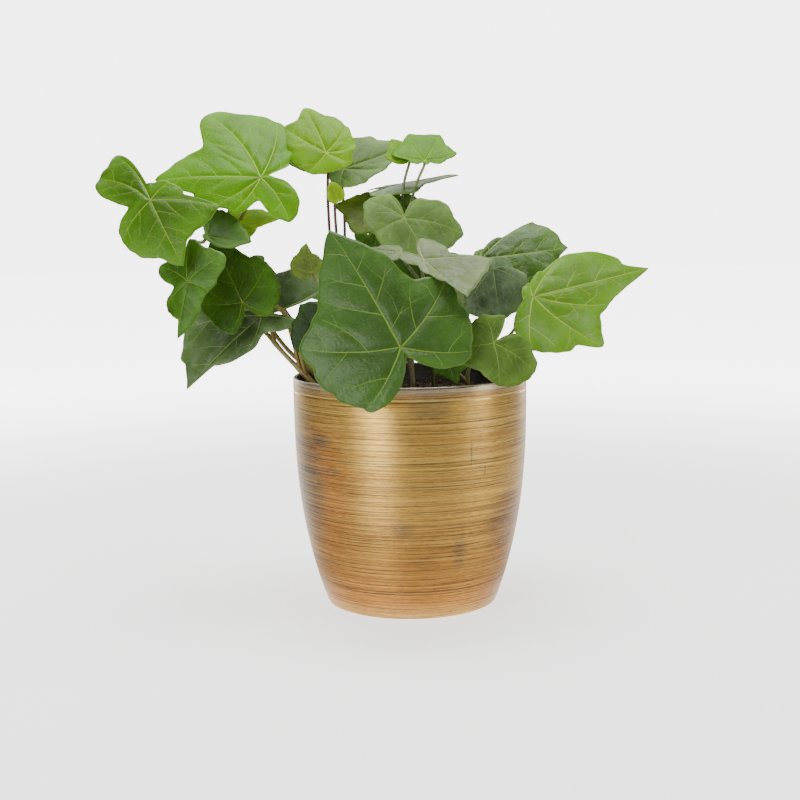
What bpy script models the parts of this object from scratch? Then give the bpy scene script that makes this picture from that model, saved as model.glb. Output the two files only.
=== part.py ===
"""Potted ivy: a turned metal-look pot, its soil, and the rooted ivy shoots that stand in it."""

import math

import bmesh
import bpy
import numpy as np

# Pot, metres
POT_HEIGHT = 0.137
RIM_RADIUS = 0.070
BASE_RADIUS = 0.0512
BELLY_POWER = 2.67
BELLY_TOP = 0.967
WALL = 0.0024
FLOOR = 0.003
BAND_DEPTH = 0.0078
WALL_FOOT = 0.006
EDGE_HEIGHT = 0.0022
EDGE_DEPTH = 0.0012
GROOVE_CUT = 0.0005
GROOVE_HALF = 0.0007
POT_STEPS = 40
OUTER_RINGS = 8
INNER_RINGS = 4

# Soil, metres
GAP = 0.0003
SOIL_BELOW_RIM = 0.0125
SOIL_MOUND = 0.003
HOLE_DEPTH = 0.016
SOIL_TOP = POT_HEIGHT - SOIL_BELOW_RIM

# Plant, metres
BLADE = 0.0008
STEM_RADIUS = 0.0013
STEM_TAPER = 0.35
PETIOLE_RADIUS = 0.0009
TUCK = 0.004
TUCK_DROP = 0.0010
ELBOW = 0.006
CREASE = 0.03
TUBE_STEP = 0.020
FINE_SIZE = 0.045

# How sharply the terminal, side and basal lobes end
POINTED = (1.0, 0.55, 0.15)

# The usual lobes of one half of a leaf: sinus, side lobe, sinus, basal lobe,
# as the angle from the main vein in degrees and the reach as a share of the main vein
USUAL = [(30, 0.66), (56, 0.78), (86, 0.52), (128, 0.56)]
ROUNDED = [(32, 0.78), (54, 0.82), (84, 0.66), (126, 0.62)]
NARROW = [(28, 0.55), (52, 0.70), (84, 0.42), (124, 0.46)]

SOIL_BROWN = (0.16, 0.10, 0.05)


def leaf(at, aim, facing, size, left=USUAL, right=USUAL, notch=0.08, turn=0, start=1.0, via=(), **bends):
    """A leaf: where its petiole ends, the way its main vein and its upper face point, and its lobes."""
    return dict(at=at, aim=aim, facing=facing, size=size, left=left, right=right, notch=notch,
                turn=turn, start=start, via=via, **bends)


# Each shoot: its stem from the soil up, its green, and its leaves. A leaf's start is the share of
# the stem at which its petiole leaves it.
SHOOTS = {
    "shoot_left_low": dict(
        stem=[(-0.052, -0.011), (-0.061, -0.010, 0.137), (-0.075, -0.008, 0.1515), (-0.086, -0.006, 0.164),
              (-0.097, -0.008, 0.172)],
        green=(0.10, 0.20, 0.09),
        leaves=[
            leaf((-0.087, -0.013, 0.174), (-0.72, -0.32, -0.62), (-0.20, -0.75, 0.62), 0.061,
                 left=[(4, 0.65), (28, 0.42), (62, 0.20), (122, 0.37)],
                 right=[(16, 0.88), (44, 0.82), (118, 0.46), (198, 0.76)], turn=36, notch=0.1,
                 fold=-5, curl=10, start=0.72),
            leaf((-0.096, -0.028, 0.183), (-0.44, 0.32, 0.84), (0.05, -0.92, 0.38), 0.046,
                 left=[(36, 0.52), (66, 0.54), (99, 0.46), (135, 0.45)],
                 right=[(33, 0.63), (54, 0.62), (87, 0.52), (138, 0.40)], notch=0.06, curl=10,
                 start=0.45, via=[(-0.0735, -0.0130, 0.1750), (-0.083, -0.023, 0.180)]),
            leaf((-0.124, -0.048, 0.196), (-0.13, -0.38, -0.92), (-0.35, -0.85, 0.40), 0.034,
                 left=[(54, 0.40), (70, 0.40), (96, 0.49), (134, 0.75), (160, 0.66), (188, 0.79)],
                 right=[(6, 0.65), (45, 0.55), (78, 0.30), (116, 0.80)], notch=0.4, turn=-24, fold=-14,
                 start=0.38, via=[(-0.0745, -0.0145, 0.1775), (-0.104, -0.021, 0.181),
                                  (-0.124, -0.031, 0.186)]),
        ]),
    "shoot_left_high": dict(
        stem=[(-0.048, 0.014), (-0.058, 0.013, 0.136), (-0.076, 0.014, 0.153),
              (-0.092, 0.018, 0.176), (-0.104, 0.018, 0.200), (-0.108, 0.014, 0.220)],
        green=(0.22, 0.38, 0.11),
        leaves=[
            leaf((-0.086, -0.006, 0.255), (-1.00, -0.03, 0.05), (0.05, -0.75, 0.66), 0.062,
                 left=[(18, 0.66), (38, 0.55), (50, 0.49), (60, 0.49), (88, 0.28), (122, 0.57)],
                 right=[(36, 0.77), (58, 1.23), (78, 1.08), (96, 0.89), (120, 0.48), (140, 0.34)],
                 tips=(0.6, 0.2, 0.1), turn=-25, fold=-5, curl=12, roll=10,
                 start=0.98, via=[(-0.096, 0.006, 0.238)]),
            leaf((-0.146, -0.034, 0.242), (0.43, -0.58, -0.69), (-0.15, -0.80, 0.58), 0.049,
                 left=[(16, 0.72), (54, 0.82), (72, 0.40), (116, 0.32)],
                 right=[(17, 0.79), (58, 0.60), (104, 0.28), (150, 0.89), (160, 0.93), (172, 1.02)],
                 notch=0.26, turn=12,
                 fold=-4, curl=15, start=0.9, via=[(-0.120, 0.004, 0.226), (-0.138, -0.014, 0.234)]),
            leaf((-0.115, -0.028, 0.2215), (0.96, -0.15, -0.23), (0.10, -0.60, 0.80), 0.027,
                 left=[(42, 0.76), (98, 0.74)], right=[(20, 0.80), (28, 0.72), (66, 0.20), (110, 0.12)],
                 notch=0.1, turn=30, roll=-40, curl=-15,
                 start=0.80, via=[(-0.121, 0.006, 0.208), (-0.123, -0.012, 0.217)]),
            leaf((-0.103, 0.006, 0.228), (0.92, 0.34, 0.12), (0.05, -0.60, 0.80), 0.029,
                 left=[(24, 0.78), (54, 0.52)], right=[(26, 0.46), (80, 0.52)], notch=0.2, start=1.0),
        ]),
    "shoot_back_tall": dict(
        stem=[(-0.022, 0.012), (-0.033, 0.013, 0.150), (-0.041, 0.015, 0.180)],
        green=(0.26, 0.42, 0.14),
        leaves=[
            leaf((-0.049, 0.020, 0.270), (-0.34, 0.56, 0.75), (0.0, -0.80, 0.60), 0.048,
                 left=[(12, 0.78), (26, 0.80), (54, 0.54), (122, 0.37)],
                 right=[(17, 0.72), (46, 0.54), (72, 0.42), (94, 0.39), (112, 0.33), (134, 0.36)],
                 tips=(0.3, 0.3, 0.1), notch=0.3, curl=25, roll=15,
                 start=0.95, via=[(-0.046, 0.013, 0.206), (-0.048, 0.012, 0.241)]),
            leaf((-0.039, 0.034, 0.261), (0.89, 0.32, 0.32), (0.0, -0.70, 0.70), 0.046,
                 left=[(26, 0.72), (56, 0.61), (104, 0.55), (140, 0.78)],
                 right=[(4, 0.72), (28, 0.56), (54, 0.40), (124, 0.36)], notch=0.25,
                 start=0.98, via=[(-0.039, 0.026, 0.220), (-0.040, 0.029, 0.248)]),
            leaf((-0.042, 0.004, 0.243), (-0.35, -0.20, 0.90), (0.30, -0.85, 0.30), 0.010,
                 left=[(60, 0.62)], right=[(60, 0.62)], notch=0.3, start=0.9,
                 via=[(-0.043, 0.008, 0.222)]),
        ]),
    "shoot_centre": dict(
        stem=[(0.002, 0.010), (-0.002, 0.012, 0.160), (-0.006, 0.017, 0.195),
              (-0.006, 0.024, 0.222)],
        green=(0.16, 0.26, 0.15),
        leaves=[
            leaf((-0.002, -0.006, 0.230), (0.52, -0.41, -0.75), (0.0, -0.88, 0.48), 0.031,
                 left=[(20, 1.04), (43, 1.16), (70, 0.90), (112, 0.54)],
                 right=[(44, 0.78), (90, 0.65), (118, 0.76), (152, 0.85), (170, 0.74), (182, 0.64)],
                 turn=30, curl=15, notch=0.08,
                 start=0.8, via=[(-0.004, 0.008, 0.222)]),
            leaf((-0.010, 0.036, 0.2497), (0.97, 0.0, 0.16), (-0.25, -0.14, 0.96), 0.0415,
                 right=[(30, 0.58), (56, 0.66), (86, 0.56), (128, 0.50)], roll=25, start=1.0),
            leaf((-0.022, 0.022, 0.233), (-0.98, -0.07, 0.21), (0.20, -0.70, 0.70), 0.024,
                 left=[(22, 0.72), (66, 0.88)],
                 right=[(34, 0.74), (58, 0.72), (84, 0.80), (116, 1.20)], start=0.9),
            leaf((0.0105, 0.016, 0.2645), (0.32, 0.70, 0.54), (0.0, -0.60, 0.80), 0.028,
                 left=[(24, 0.97), (40, 1.05), (62, 0.78), (90, 0.78), (108, 0.36), (140, 0.24)],
                 right=[(24, 0.72), (54, 0.73), (72, 0.45), (86, 0.38), (108, 0.14), (140, 0.16)],
                 start=0.98,
                 via=[(0.002, 0.020, 0.240), (0.006, 0.018, 0.253)]),
            leaf((0.001, 0.024, 0.267), (-0.60, 0.45, 0.60), (0.05, -0.60, 0.80), 0.018,
                 left=[(30, 0.74), (60, 0.80)], right=[(30, 0.74), (60, 0.80)], start=1.0,
                 via=[(-0.003, 0.024, 0.250)]),
            leaf((-0.021, 0.008, 0.211), (-0.70, -0.05, 0.70), (0.10, -0.90, 0.40), 0.016, start=0.7),
            leaf((0.002, 0.018, 0.229), (-0.20, 0.40, 0.90), (0.05, -0.90, 0.40), 0.019,
                 left=ROUNDED, right=ROUNDED, start=0.9),
        ]),
    "shoot_front": dict(
        stem=[(-0.006, -0.030), (-0.008, -0.032, 0.150), (-0.009, -0.032, 0.172),
              (-0.010, -0.030, 0.190)],
        green=(0.09, 0.24, 0.08),
        leaves=[
            leaf((-0.004, -0.084, 0.161), (-0.48, 0.35, 0.81), (0.04, -0.90, 0.42), 0.081,
                 left=[(39, 0.62), (59, 0.70), (77, 0.60), (123, 0.49)],
                 right=[(39, 0.53), (59, 0.64), (84, 0.54), (118, 0.49)],
                 fold=-6, curl=10, roll=14, wave=0.012, start=0.45, via=[(-0.003, -0.058, 0.152)]),
            leaf((-0.049, -0.050, 0.160), (-0.45, 0.40, 0.79), (-0.10, -0.90, 0.40), 0.028, start=0.35,
                 left=[(16, 0.80), (42, 0.68)], right=[(22, 0.94), (54, 0.62)]),
            leaf((-0.055, -0.030, 0.200), (-0.20, 0.42, 0.89), (-0.10, -0.90, 0.40), 0.019,
                 left=[(29, 0.78), (56, 0.76)], right=[(12, 0.60), (50, 0.48)], notch=0.04, start=0.8,
                 via=[(-0.030, -0.032, 0.186)]),
            leaf((0.004, -0.020, 0.184), (-0.52, 0.27, 0.81), (0.0, -0.92, 0.30), 0.037,
                 left=[(40, 0.74), (74, 0.62)], right=[(40, 0.70), (86, 0.60)], start=0.9),
        ]),
    "shoot_pale": dict(
        stem=[(0.014, -0.028), (0.013, -0.033, 0.160), (0.010, -0.037, 0.190)],
        green=(0.34, 0.40, 0.30),
        leaves=[
            leaf((0.009, -0.048, 0.207), (0.59, -0.65, -0.49), (0.0, -0.60, 0.80), 0.040,
                 left=[(23, 0.90), (52, 0.96), (74, 0.40), (150, 0.46)],
                 right=[(6, 0.56), (22, 0.34), (69, 0.16), (150, 0.37)], start=1.0),
            leaf((-0.005, -0.042, 0.211), (-0.98, 0.15, 0.11), (0.0, -0.60, 0.80), 0.021,
                 left=[(17, 0.70), (42, 0.52)], right=[(12, 0.60), (44, 0.34)], start=1.0),
        ]),
    "shoot_right": dict(
        stem=[(0.028, -0.004), (0.032, -0.006, 0.155), (0.036, -0.006, 0.178),
              (0.038, -0.002, 0.192)],
        green=(0.14, 0.24, 0.12),
        leaves=[
            leaf((0.043, -0.008, 0.206), (0.98, 0.15, 0.11), (0.05, -0.78, 0.62), 0.053,
                 left=[(18, 0.92), (33, 0.84), (43, 0.41), (72, 0.14)],
                 right=[(8, 0.88), (36, 0.64), (50, 0.42), (84, 0.20)], fold=-8, start=1.0),
            leaf((0.049, -0.030, 0.201), (0.13, -0.20, -0.97), (0.05, -0.95, 0.20), 0.031,
                 left=[(16, 0.92), (54, 0.78), (68, 0.64), (84, 0.36)],
                 right=[(22, 0.96), (40, 1.00), (54, 0.76), (78, 0.42)], notch=0.2, start=0.98),
            leaf((0.071, -0.040, 0.185), (0.95, 0.23, 0.24), (0.08, -0.85, 0.50), 0.075,
                 left=[(7, 0.79), (36, 0.47), (52, 0.24), (80, 0.12)],
                 right=[(17, 0.62), (22, 0.60), (34, 0.53), (55, 0.64), (70, 0.51), (112, 0.44)],
                 fold=-4, curl=10,
                 start=0.5, via=[(0.057, -0.028, 0.161)]),
        ]),
    "shoot_right_low": dict(
        stem=[(0.033, -0.030), (0.034, -0.030, 0.140), (0.037, -0.028, 0.152)],
        green=(0.17, 0.34, 0.09),
        leaves=[
            leaf((0.047, -0.066, 0.161), (-0.98, -0.17, -0.14), (0.10, -0.92, 0.40), 0.027,
                 left=[(49, 0.66), (84, 0.90), (106, 1.01), (134, 1.04), (172, 0.76), (190, 0.56)],
                 right=[(44, 0.62), (86, 0.64), (104, 0.60), (124, 0.66)], curl=10, notch=0.06, turn=-38,
                 start=1.0, via=[(0.046, -0.048, 0.158)]),
            leaf((0.022, -0.044, 0.150), (0.25, -0.35, -0.70), (0.10, -0.90, 0.42), 0.016, start=0.6),
        ]),
    "shoot_back_left": dict(
        stem=[(-0.030, 0.036), (-0.044, 0.044, 0.143), (-0.070, 0.056, 0.162),
              (-0.096, 0.062, 0.184), (-0.112, 0.060, 0.206), (-0.114, 0.054, 0.235)],
        green=(0.16, 0.30, 0.10),
        leaves=[
            leaf((-0.112, 0.076, 0.198), (-0.25, 0.45, -0.80), (-0.35, 0.80, 0.50), 0.034, curl=20,
                 start=0.62),
            leaf((-0.106, 0.066, 0.166), (-0.30, 0.40, -0.30), (-0.30, 0.50, 0.80), 0.026, left=ROUNDED,
                 right=ROUNDED, curl=15, start=0.45),
            leaf((-0.108, 0.056, 0.258), (-0.35, 0.75, 0.35), (-0.15, -0.10, 0.95), 0.038, left=ROUNDED,
                 fold=-6, curl=25, start=1.0),
            leaf((-0.085, 0.040, 0.192), (-0.35, -0.10, 0.30), (-0.30, 0.10, 0.90), 0.030, left=NARROW,
                 curl=20, start=0.5),
        ]),
    "shoot_back_middle": dict(
        stem=[(0.002, 0.042), (0.000, 0.050, 0.150), (-0.006, 0.056, 0.176),
              (-0.008, 0.054, 0.202)],
        green=(0.12, 0.26, 0.10),
        leaves=[
            leaf((-0.014, 0.092, 0.166), (0.05, 0.45, -0.85), (-0.02, 0.85, 0.50), 0.052, fold=-5, curl=20,
                 wave=0.02, start=0.45),
            leaf((-0.040, 0.070, 0.186), (-0.55, 0.55, -0.40), (-0.25, 0.50, 0.80), 0.038, left=NARROW,
                 curl=20, start=0.7),
            leaf((0.016, 0.076, 0.190), (0.45, 0.65, -0.35), (0.10, 0.60, 0.80), 0.042, right=ROUNDED,
                 curl=25, start=0.8),
            leaf((-0.004, 0.062, 0.226), (0.10, 0.80, 0.20), (0.05, 0.10, 0.98), 0.030, left=ROUNDED,
                 right=ROUNDED, curl=25, start=1.0),
            leaf((0.018, 0.046, 0.208), (0.85, 0.10, -0.10), (0.10, 0.10, 0.98), 0.032, curl=25,
                 start=0.92),
            leaf((-0.024, 0.044, 0.168), (-0.75, 0.25, -0.20), (-0.15, 0.20, 0.90), 0.030, left=ROUNDED,
                 curl=20, start=0.35),
        ]),
    "shoot_back_low": dict(
        stem=[(-0.016, 0.050), (-0.028, 0.060, 0.145), (-0.042, 0.068, 0.154)],
        green=(0.20, 0.36, 0.12),
        leaves=[
            leaf((-0.050, 0.088, 0.144), (-0.25, 0.35, -0.85), (-0.30, 0.90, 0.35), 0.034, left=ROUNDED,
                 curl=15, start=1.0),
            leaf((-0.022, 0.084, 0.136), (0.10, 0.25, -0.95), (-0.02, 0.95, 0.30), 0.034, right=NARROW,
                 curl=10, start=0.6),
        ]),
    "shoot_back_right": dict(
        stem=[(0.028, 0.032), (0.036, 0.040, 0.148), (0.050, 0.046, 0.166),
              (0.064, 0.048, 0.184)],
        green=(0.15, 0.30, 0.11),
        leaves=[
            leaf((0.060, 0.066, 0.190), (0.35, 0.60, -0.40), (0.25, 0.60, 0.75), 0.038, fold=-5, curl=20,
                 start=0.9),
            leaf((0.092, 0.050, 0.184), (0.70, 0.45, -0.30), (0.40, 0.25, 0.85), 0.036, left=ROUNDED,
                 curl=20, start=1.0),
            leaf((0.036, 0.088, 0.150), (0.05, 0.45, -0.85), (0.18, 0.88, 0.45), 0.038, left=NARROW,
                 curl=15, start=0.4),
            leaf((0.074, 0.028, 0.206), (0.80, 0.15, -0.25), (0.25, 0.05, 0.95), 0.032, curl=20,
                 start=1.0),
            leaf((0.068, 0.022, 0.181), (0.80, 0.20, -0.35), (0.50, 0.05, 0.85), 0.032, right=ROUNDED,
                 curl=20, start=0.3),
            leaf((0.050, 0.074, 0.200), (0.15, 0.75, 0.10), (0.10, 0.10, 0.95), 0.030, curl=25,
                 start=0.8),
        ]),
}


def unit(vector):
    """The vector at length 1."""
    vector = np.asarray(vector, float)
    return vector / np.linalg.norm(vector)


def leaf_axes(spec):
    """The leaf's own axes: right, along the main vein, and out of its upper face."""
    along = unit(spec["aim"])
    facing = np.asarray(spec["facing"], float)
    upward = unit(facing - along * np.dot(facing, along))
    return np.cross(along, upward), along, upward


def stops(spec):
    """The angles of the lobes and sinuses all round, from notch to notch."""
    left = [-(180 - spec["turn"])] + [-angle for angle, _ in reversed(spec["left"])]
    right = [angle for angle, _ in spec["right"]] + [180 + spec["turn"]]
    return left + [0] + right


def reach(spec, angle):
    """The outline's distance from the petiole at an angle, as a share of the main vein."""
    side, end = (spec["right"], 180 + spec["turn"]) if angle >= 0 else (spec["left"], 180 - spec["turn"])
    keys = [(0.0, 1.0)] + list(side) + [(end, spec["notch"])]
    turned = abs(angle)
    index = 0
    while index < len(keys) - 2 and turned > keys[index + 1][0]:
        index += 1
    (first_angle, first), (last_angle, last) = keys[index], keys[index + 1]
    share = min(1.0, (turned - first_angle) / (last_angle - first_angle))
    pointed = spec.get("tips", POINTED)
    sharp = pointed[min((index + 1) // 2, len(pointed) - 1)]
    if index % 2 == 1:
        first, last, share = last, first, 1.0 - share
    fall = sharp * (1.0 - share) ** 1.5 + (1.0 - sharp) * (0.5 + 0.5 * math.cos(math.pi * share))
    return last + (first - last) * fall


def bent(x, y, spec, angle=0.0, share=1.0):
    """A point of the flat leaf, folded, waved, rolled and curled."""
    size = spec["size"]
    crease = CREASE * size
    z = math.tan(math.radians(spec.get("fold", 0))) * (math.hypot(x, crease) - crease)
    z += spec.get("wave", 0) * size * share ** 2 * math.sin(5 * math.radians(angle))
    for name in ("roll", "curl"):
        turn = math.radians(spec.get(name, 0)) / size
        flat = x if name == "roll" else y
        if turn:
            radius = 1 / turn + z
            flat, z = radius * math.sin(flat * turn), radius * math.cos(flat * turn) - 1 / turn
        if name == "roll":
            x = flat
        else:
            y = flat
    return x, y, z


def leaf_point(spec, angle, share):
    """The place of a point of the leaf, by its angle from the main vein and its share of the reach."""
    radius = reach(spec, angle) * spec["size"] * share
    turned = math.radians(angle)
    x, y, z = bent(radius * math.sin(turned), radius * math.cos(turned), spec, angle, share)
    right, along, upward = leaf_axes(spec)
    return np.asarray(spec["at"], float) + x * right + y * along + z * upward


def along_path(points, share):
    """A point at a share of the length of a path."""
    points = [np.asarray(point, float) for point in points]
    lengths = [np.linalg.norm(b - a) for a, b in zip(points, points[1:])]
    left = share * sum(lengths)
    for start, end, length in zip(points, points[1:], lengths):
        if left <= length:
            return start + (end - start) * left / length
        left -= length
    return points[-1]


def smooth_path(points, step):
    """Catmull-Rom samples through the points, about a step apart."""
    points = [np.asarray(point, float) for point in points]
    ends = [2 * points[0] - points[1]] + points + [2 * points[-1] - points[-2]]
    out = []
    for a, b, c, d in zip(ends, ends[1:], ends[2:], ends[3:]):
        count = max(1, round(np.linalg.norm(c - b) / step))
        for index in range(count):
            t = index / count
            out.append(0.5 * (2 * b + (c - a) * t + (2 * a - 5 * b + 4 * c - d) * t * t
                              + (3 * b - 3 * c + d - a) * t ** 3))
    return out + [points[-1]]


def stem_points(shoot):
    """The shoot's stem, from the bottom of its hole upwards."""
    x, y = shoot["stem"][0]
    foot = (x, y, SOIL_TOP - HOLE_DEPTH + GAP)
    neck = (x, y, SOIL_TOP + SOIL_MOUND)
    return [foot, neck] + shoot["stem"][1:]


def petiole_points(spec, stem):
    """A petiole's route: off the stem, through its own points, and into the blade from below."""
    right, along, upward = leaf_axes(spec)
    at = np.asarray(spec["at"], float)
    under = at - upward * TUCK_DROP
    return ([along_path(stem, spec["start"])] + [np.asarray(point, float) for point in spec["via"]]
            + [under - (0.45 * along + 0.75 * upward) * ELBOW, under, under + along * TUCK])


def material(name, colour, roughness, metallic=0.0):
    """A plain material."""
    made = bpy.data.materials.new(name)
    made.use_nodes = True
    shader = made.node_tree.nodes["Principled BSDF"]
    shader.inputs["Base Color"].default_value = (*colour, 1.0)
    shader.inputs["Roughness"].default_value = roughness
    shader.inputs["Metallic"].default_value = metallic
    return made


def add_object(name, mesh, group):
    """An object for the mesh, in a collection."""
    made = bpy.data.objects.new(name, mesh)
    group.objects.link(made)
    return made


def finished_mesh(name, made):
    """The object's mesh with its modifiers applied."""
    bpy.context.view_layer.update()
    graph = bpy.context.evaluated_depsgraph_get()
    mesh = bpy.data.meshes.new_from_object(made.evaluated_get(graph))
    mesh.name = name
    mesh.transform(made.matrix_world)
    return mesh


def turned(name, profile, steps, group):
    """A body turned about Z from a profile that runs down its outer side."""
    bm = bmesh.new()
    points = [bm.verts.new((radius, 0.0, height)) for radius, height in profile]
    for pair in zip(points, points[1:]):
        bm.edges.new(pair)
    mesh = bpy.data.meshes.new(name)
    bm.to_mesh(mesh)
    bm.free()
    made = add_object(name, mesh, group)
    screw = made.modifiers.new("turn", "SCREW")
    screw.steps = steps
    screw.render_steps = steps
    screw.use_merge_vertices = True
    screw.merge_threshold = 0.00001
    screw.use_smooth_shade = True
    return made


def pot_radius(height):
    """The pot's outer radius at a height."""
    share = min(1.0, max(0.0, (BELLY_TOP - height / POT_HEIGHT) / BELLY_TOP))
    return RIM_RADIUS - (RIM_RADIUS - BASE_RADIUS) * share ** BELLY_POWER


def spaced(low, high, count):
    """Heights from low to high, closer together where the pot curves in."""
    return [low + (high - low) * (index / count) ** 1.3 for index in range(count + 1)]


def pot_profile():
    """Inner floor, inner wall, lip, outer wall with the groove of the rim band, and base."""
    lip = WALL / 2
    inner = [(pot_radius(height) - WALL, height)
             for height in spaced(WALL_FOOT, POT_HEIGHT - lip, INNER_RINGS)]
    groove = POT_HEIGHT - BAND_DEPTH
    band = [(pot_radius(groove + GROOVE_HALF), groove + GROOVE_HALF),
            (pot_radius(groove) - GROOVE_CUT, groove),
            (pot_radius(groove - GROOVE_HALF), groove - GROOVE_HALF)]
    outer = [(pot_radius(height), height)
             for height in reversed(spaced(WALL_FOOT, groove - 0.004, OUTER_RINGS))]
    lips = [(RIM_RADIUS - 0.75 * WALL, POT_HEIGHT), (RIM_RADIUS - 0.25 * WALL, POT_HEIGHT),
            (RIM_RADIUS, POT_HEIGHT - lip * 0.5)]
    edge = [(pot_radius(EDGE_HEIGHT), EDGE_HEIGHT), (BASE_RADIUS - EDGE_DEPTH, 0.0)]
    return ([(0.0, FLOOR), (inner[0][0] - 0.002, FLOOR)] + inner + lips + band + outer + edge
            + [(0.0, 0.0)])


def make_pot(group):
    """The turned cup."""
    pot = turned("pot", pot_profile(), POT_STEPS, group)
    pot.data.materials.append(material("pot_gold", (0.55, 0.33, 0.13), 0.38, 0.9))
    return pot


def make_soil(group, cutters):
    """The root ball, filled to below the rim, with a plain hole for each stem."""
    rim = pot_radius(SOIL_TOP) - WALL
    top = [(rim * share, SOIL_TOP + SOIL_MOUND * (1 - share ** 2)) for share in (0.0, 0.45, 0.8)]
    heights = [SOIL_TOP] + list(reversed(spaced(WALL_FOOT, POT_HEIGHT - WALL / 2, INNER_RINGS)[:-1]))
    side = [(pot_radius(height) - WALL - 2 * GAP, height) for height in heights]
    foot = [(side[-1][0] - 0.002, FLOOR + GAP), (0.0, FLOOR + GAP)]
    ball = turned("soil_ball", top + side + foot, POT_STEPS, cutters)
    holes = bpy.data.collections.new("stem_holes")
    cutters.children.link(holes)
    for name, shoot in SHOOTS.items():
        x, y = shoot["stem"][0]
        bm = bmesh.new()
        bmesh.ops.create_cone(bm, cap_ends=True, segments=12, radius1=STEM_RADIUS + 2 * GAP,
                              radius2=STEM_RADIUS + 2 * GAP, depth=2 * HOLE_DEPTH)
        bmesh.ops.translate(bm, vec=(x, y, SOIL_TOP), verts=bm.verts)
        mesh = bpy.data.meshes.new("hole_" + name)
        bm.to_mesh(mesh)
        bm.free()
        cutter = add_object("hole_" + name, mesh, holes)
        cutter.hide_render = True
        cutter.display_type = "WIRE"
    cut = ball.modifiers.new("holes", "BOOLEAN")
    cut.operation = "DIFFERENCE"
    cut.operand_type = "COLLECTION"
    cut.collection = holes
    soil = add_object("soil", finished_mesh("soil", ball), group)
    soil.data.materials.clear()
    soil.data.materials.append(material("soil_brown", SOIL_BROWN, 0.95))
    bpy.data.objects.remove(ball)
    return soil


def tube(name, points, radii, group, roundness=0):
    """A round stem along the points, its caps welded."""
    curve = bpy.data.curves.new(name, "CURVE")
    curve.dimensions = "3D"
    curve.bevel_depth = 1.0
    curve.bevel_resolution = roundness
    curve.use_fill_caps = True
    spline = curve.splines.new("POLY")
    spline.points.add(len(points) - 1)
    for point, place, radius in zip(spline.points, points, radii):
        point.co = (*place, 1.0)
        point.radius = radius
    drawn = add_object(name + "_curve", curve, group)
    mesh = finished_mesh(name, drawn)
    bpy.data.objects.remove(drawn)
    bm = bmesh.new()
    bm.from_mesh(mesh)
    bmesh.ops.remove_doubles(bm, verts=bm.verts, dist=0.000001)
    bmesh.ops.triangulate(bm, faces=bm.faces)
    bm.to_mesh(mesh)
    bm.free()
    return add_object(name, mesh, group)


def blade(name, spec, group):
    """One leaf blade: a disc spun about the petiole's end, drawn out to the lobes and bent."""
    marks = stops(spec)
    steps = 3 if spec["size"] >= FINE_SIZE else 2
    bm = bmesh.new()
    spoke = [bm.verts.new((0.0, reached, 0.0)) for reached in (0.0, 0.5, 1.0)]
    edges = [bm.edges.new(pair) for pair in zip(spoke, spoke[1:])]
    bmesh.ops.spin(bm, geom=spoke + edges, cent=(0, 0, 0), axis=(0, 0, 1), angle=2 * math.pi,
                   steps=steps * (len(marks) - 1), use_merge=True)
    bmesh.ops.remove_doubles(bm, verts=bm.verts, dist=0.00001)
    bmesh.ops.triangulate(bm, faces=bm.faces)
    for vert in bm.verts:
        gaps = (math.degrees(math.atan2(vert.co.x, vert.co.y)) + 180) / 360 * (len(marks) - 1)
        mark = min(int(gaps + 0.0001), len(marks) - 2)
        angle = marks[mark] + (marks[mark + 1] - marks[mark]) * (gaps - mark)
        vert.co = leaf_point(spec, angle, vert.co.length)
    bm.normal_update()
    upward = leaf_axes(spec)[2]
    if sum(face.normal.dot(upward) for face in bm.faces) < 0:
        bmesh.ops.reverse_faces(bm, faces=bm.faces)
    mesh = bpy.data.meshes.new(name)
    bm.to_mesh(mesh)
    bm.free()
    made = add_object(name, mesh, group)
    thicken = made.modifiers.new("thickness", "SOLIDIFY")
    thicken.thickness = BLADE
    thicken.offset = -1.0
    return made


def make_shoot(name, shoot, group):
    """One shoot: its stem with its petioles and blades joined in one body."""
    pieces = bpy.data.collections.new(name + "_pieces")
    bpy.context.scene.collection.children.link(pieces)
    route = stem_points(shoot)
    path = [np.asarray(route[0])] + smooth_path(route[1:], TUBE_STEP)
    radii = [STEM_RADIUS * (1.0 - STEM_TAPER * index / len(path)) for index in range(len(path))]
    stem = tube(name + "_stem", path, radii, group, roundness=1)
    for number, spec in enumerate(shoot["leaves"]):
        petiole = smooth_path(petiole_points(spec, route), TUBE_STEP)
        tube("%s_petiole_%d" % (name, number), petiole, [PETIOLE_RADIUS] * len(petiole), pieces)
        blade("%s_blade_%d" % (name, number), spec, pieces)
    join = stem.modifiers.new("join", "BOOLEAN")
    join.operation = "UNION"
    join.operand_type = "COLLECTION"
    join.collection = pieces
    join.solver = "EXACT"
    made = add_object(name, finished_mesh(name, stem), group)
    made.data.materials.clear()
    made.data.materials.append(material(name + "_green", shoot["green"], 0.45))
    for piece in list(pieces.objects) + [stem]:
        bpy.data.objects.remove(piece)
    bpy.data.collections.remove(pieces)
    return made


def main():
    for old in list(bpy.data.objects):
        bpy.data.objects.remove(old)
    ivy = bpy.data.collections.new("potted_ivy")
    cutters = bpy.data.collections.new("cutters")
    bpy.context.scene.collection.children.link(ivy)
    bpy.context.scene.collection.children.link(cutters)
    make_pot(ivy)
    make_soil(ivy, cutters)
    for name, shoot in SHOOTS.items():
        make_shoot(name, shoot, ivy)


main()
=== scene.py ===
import math
import random

import bmesh
import bpy
import numpy as np
from mathutils import Matrix, Vector


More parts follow.
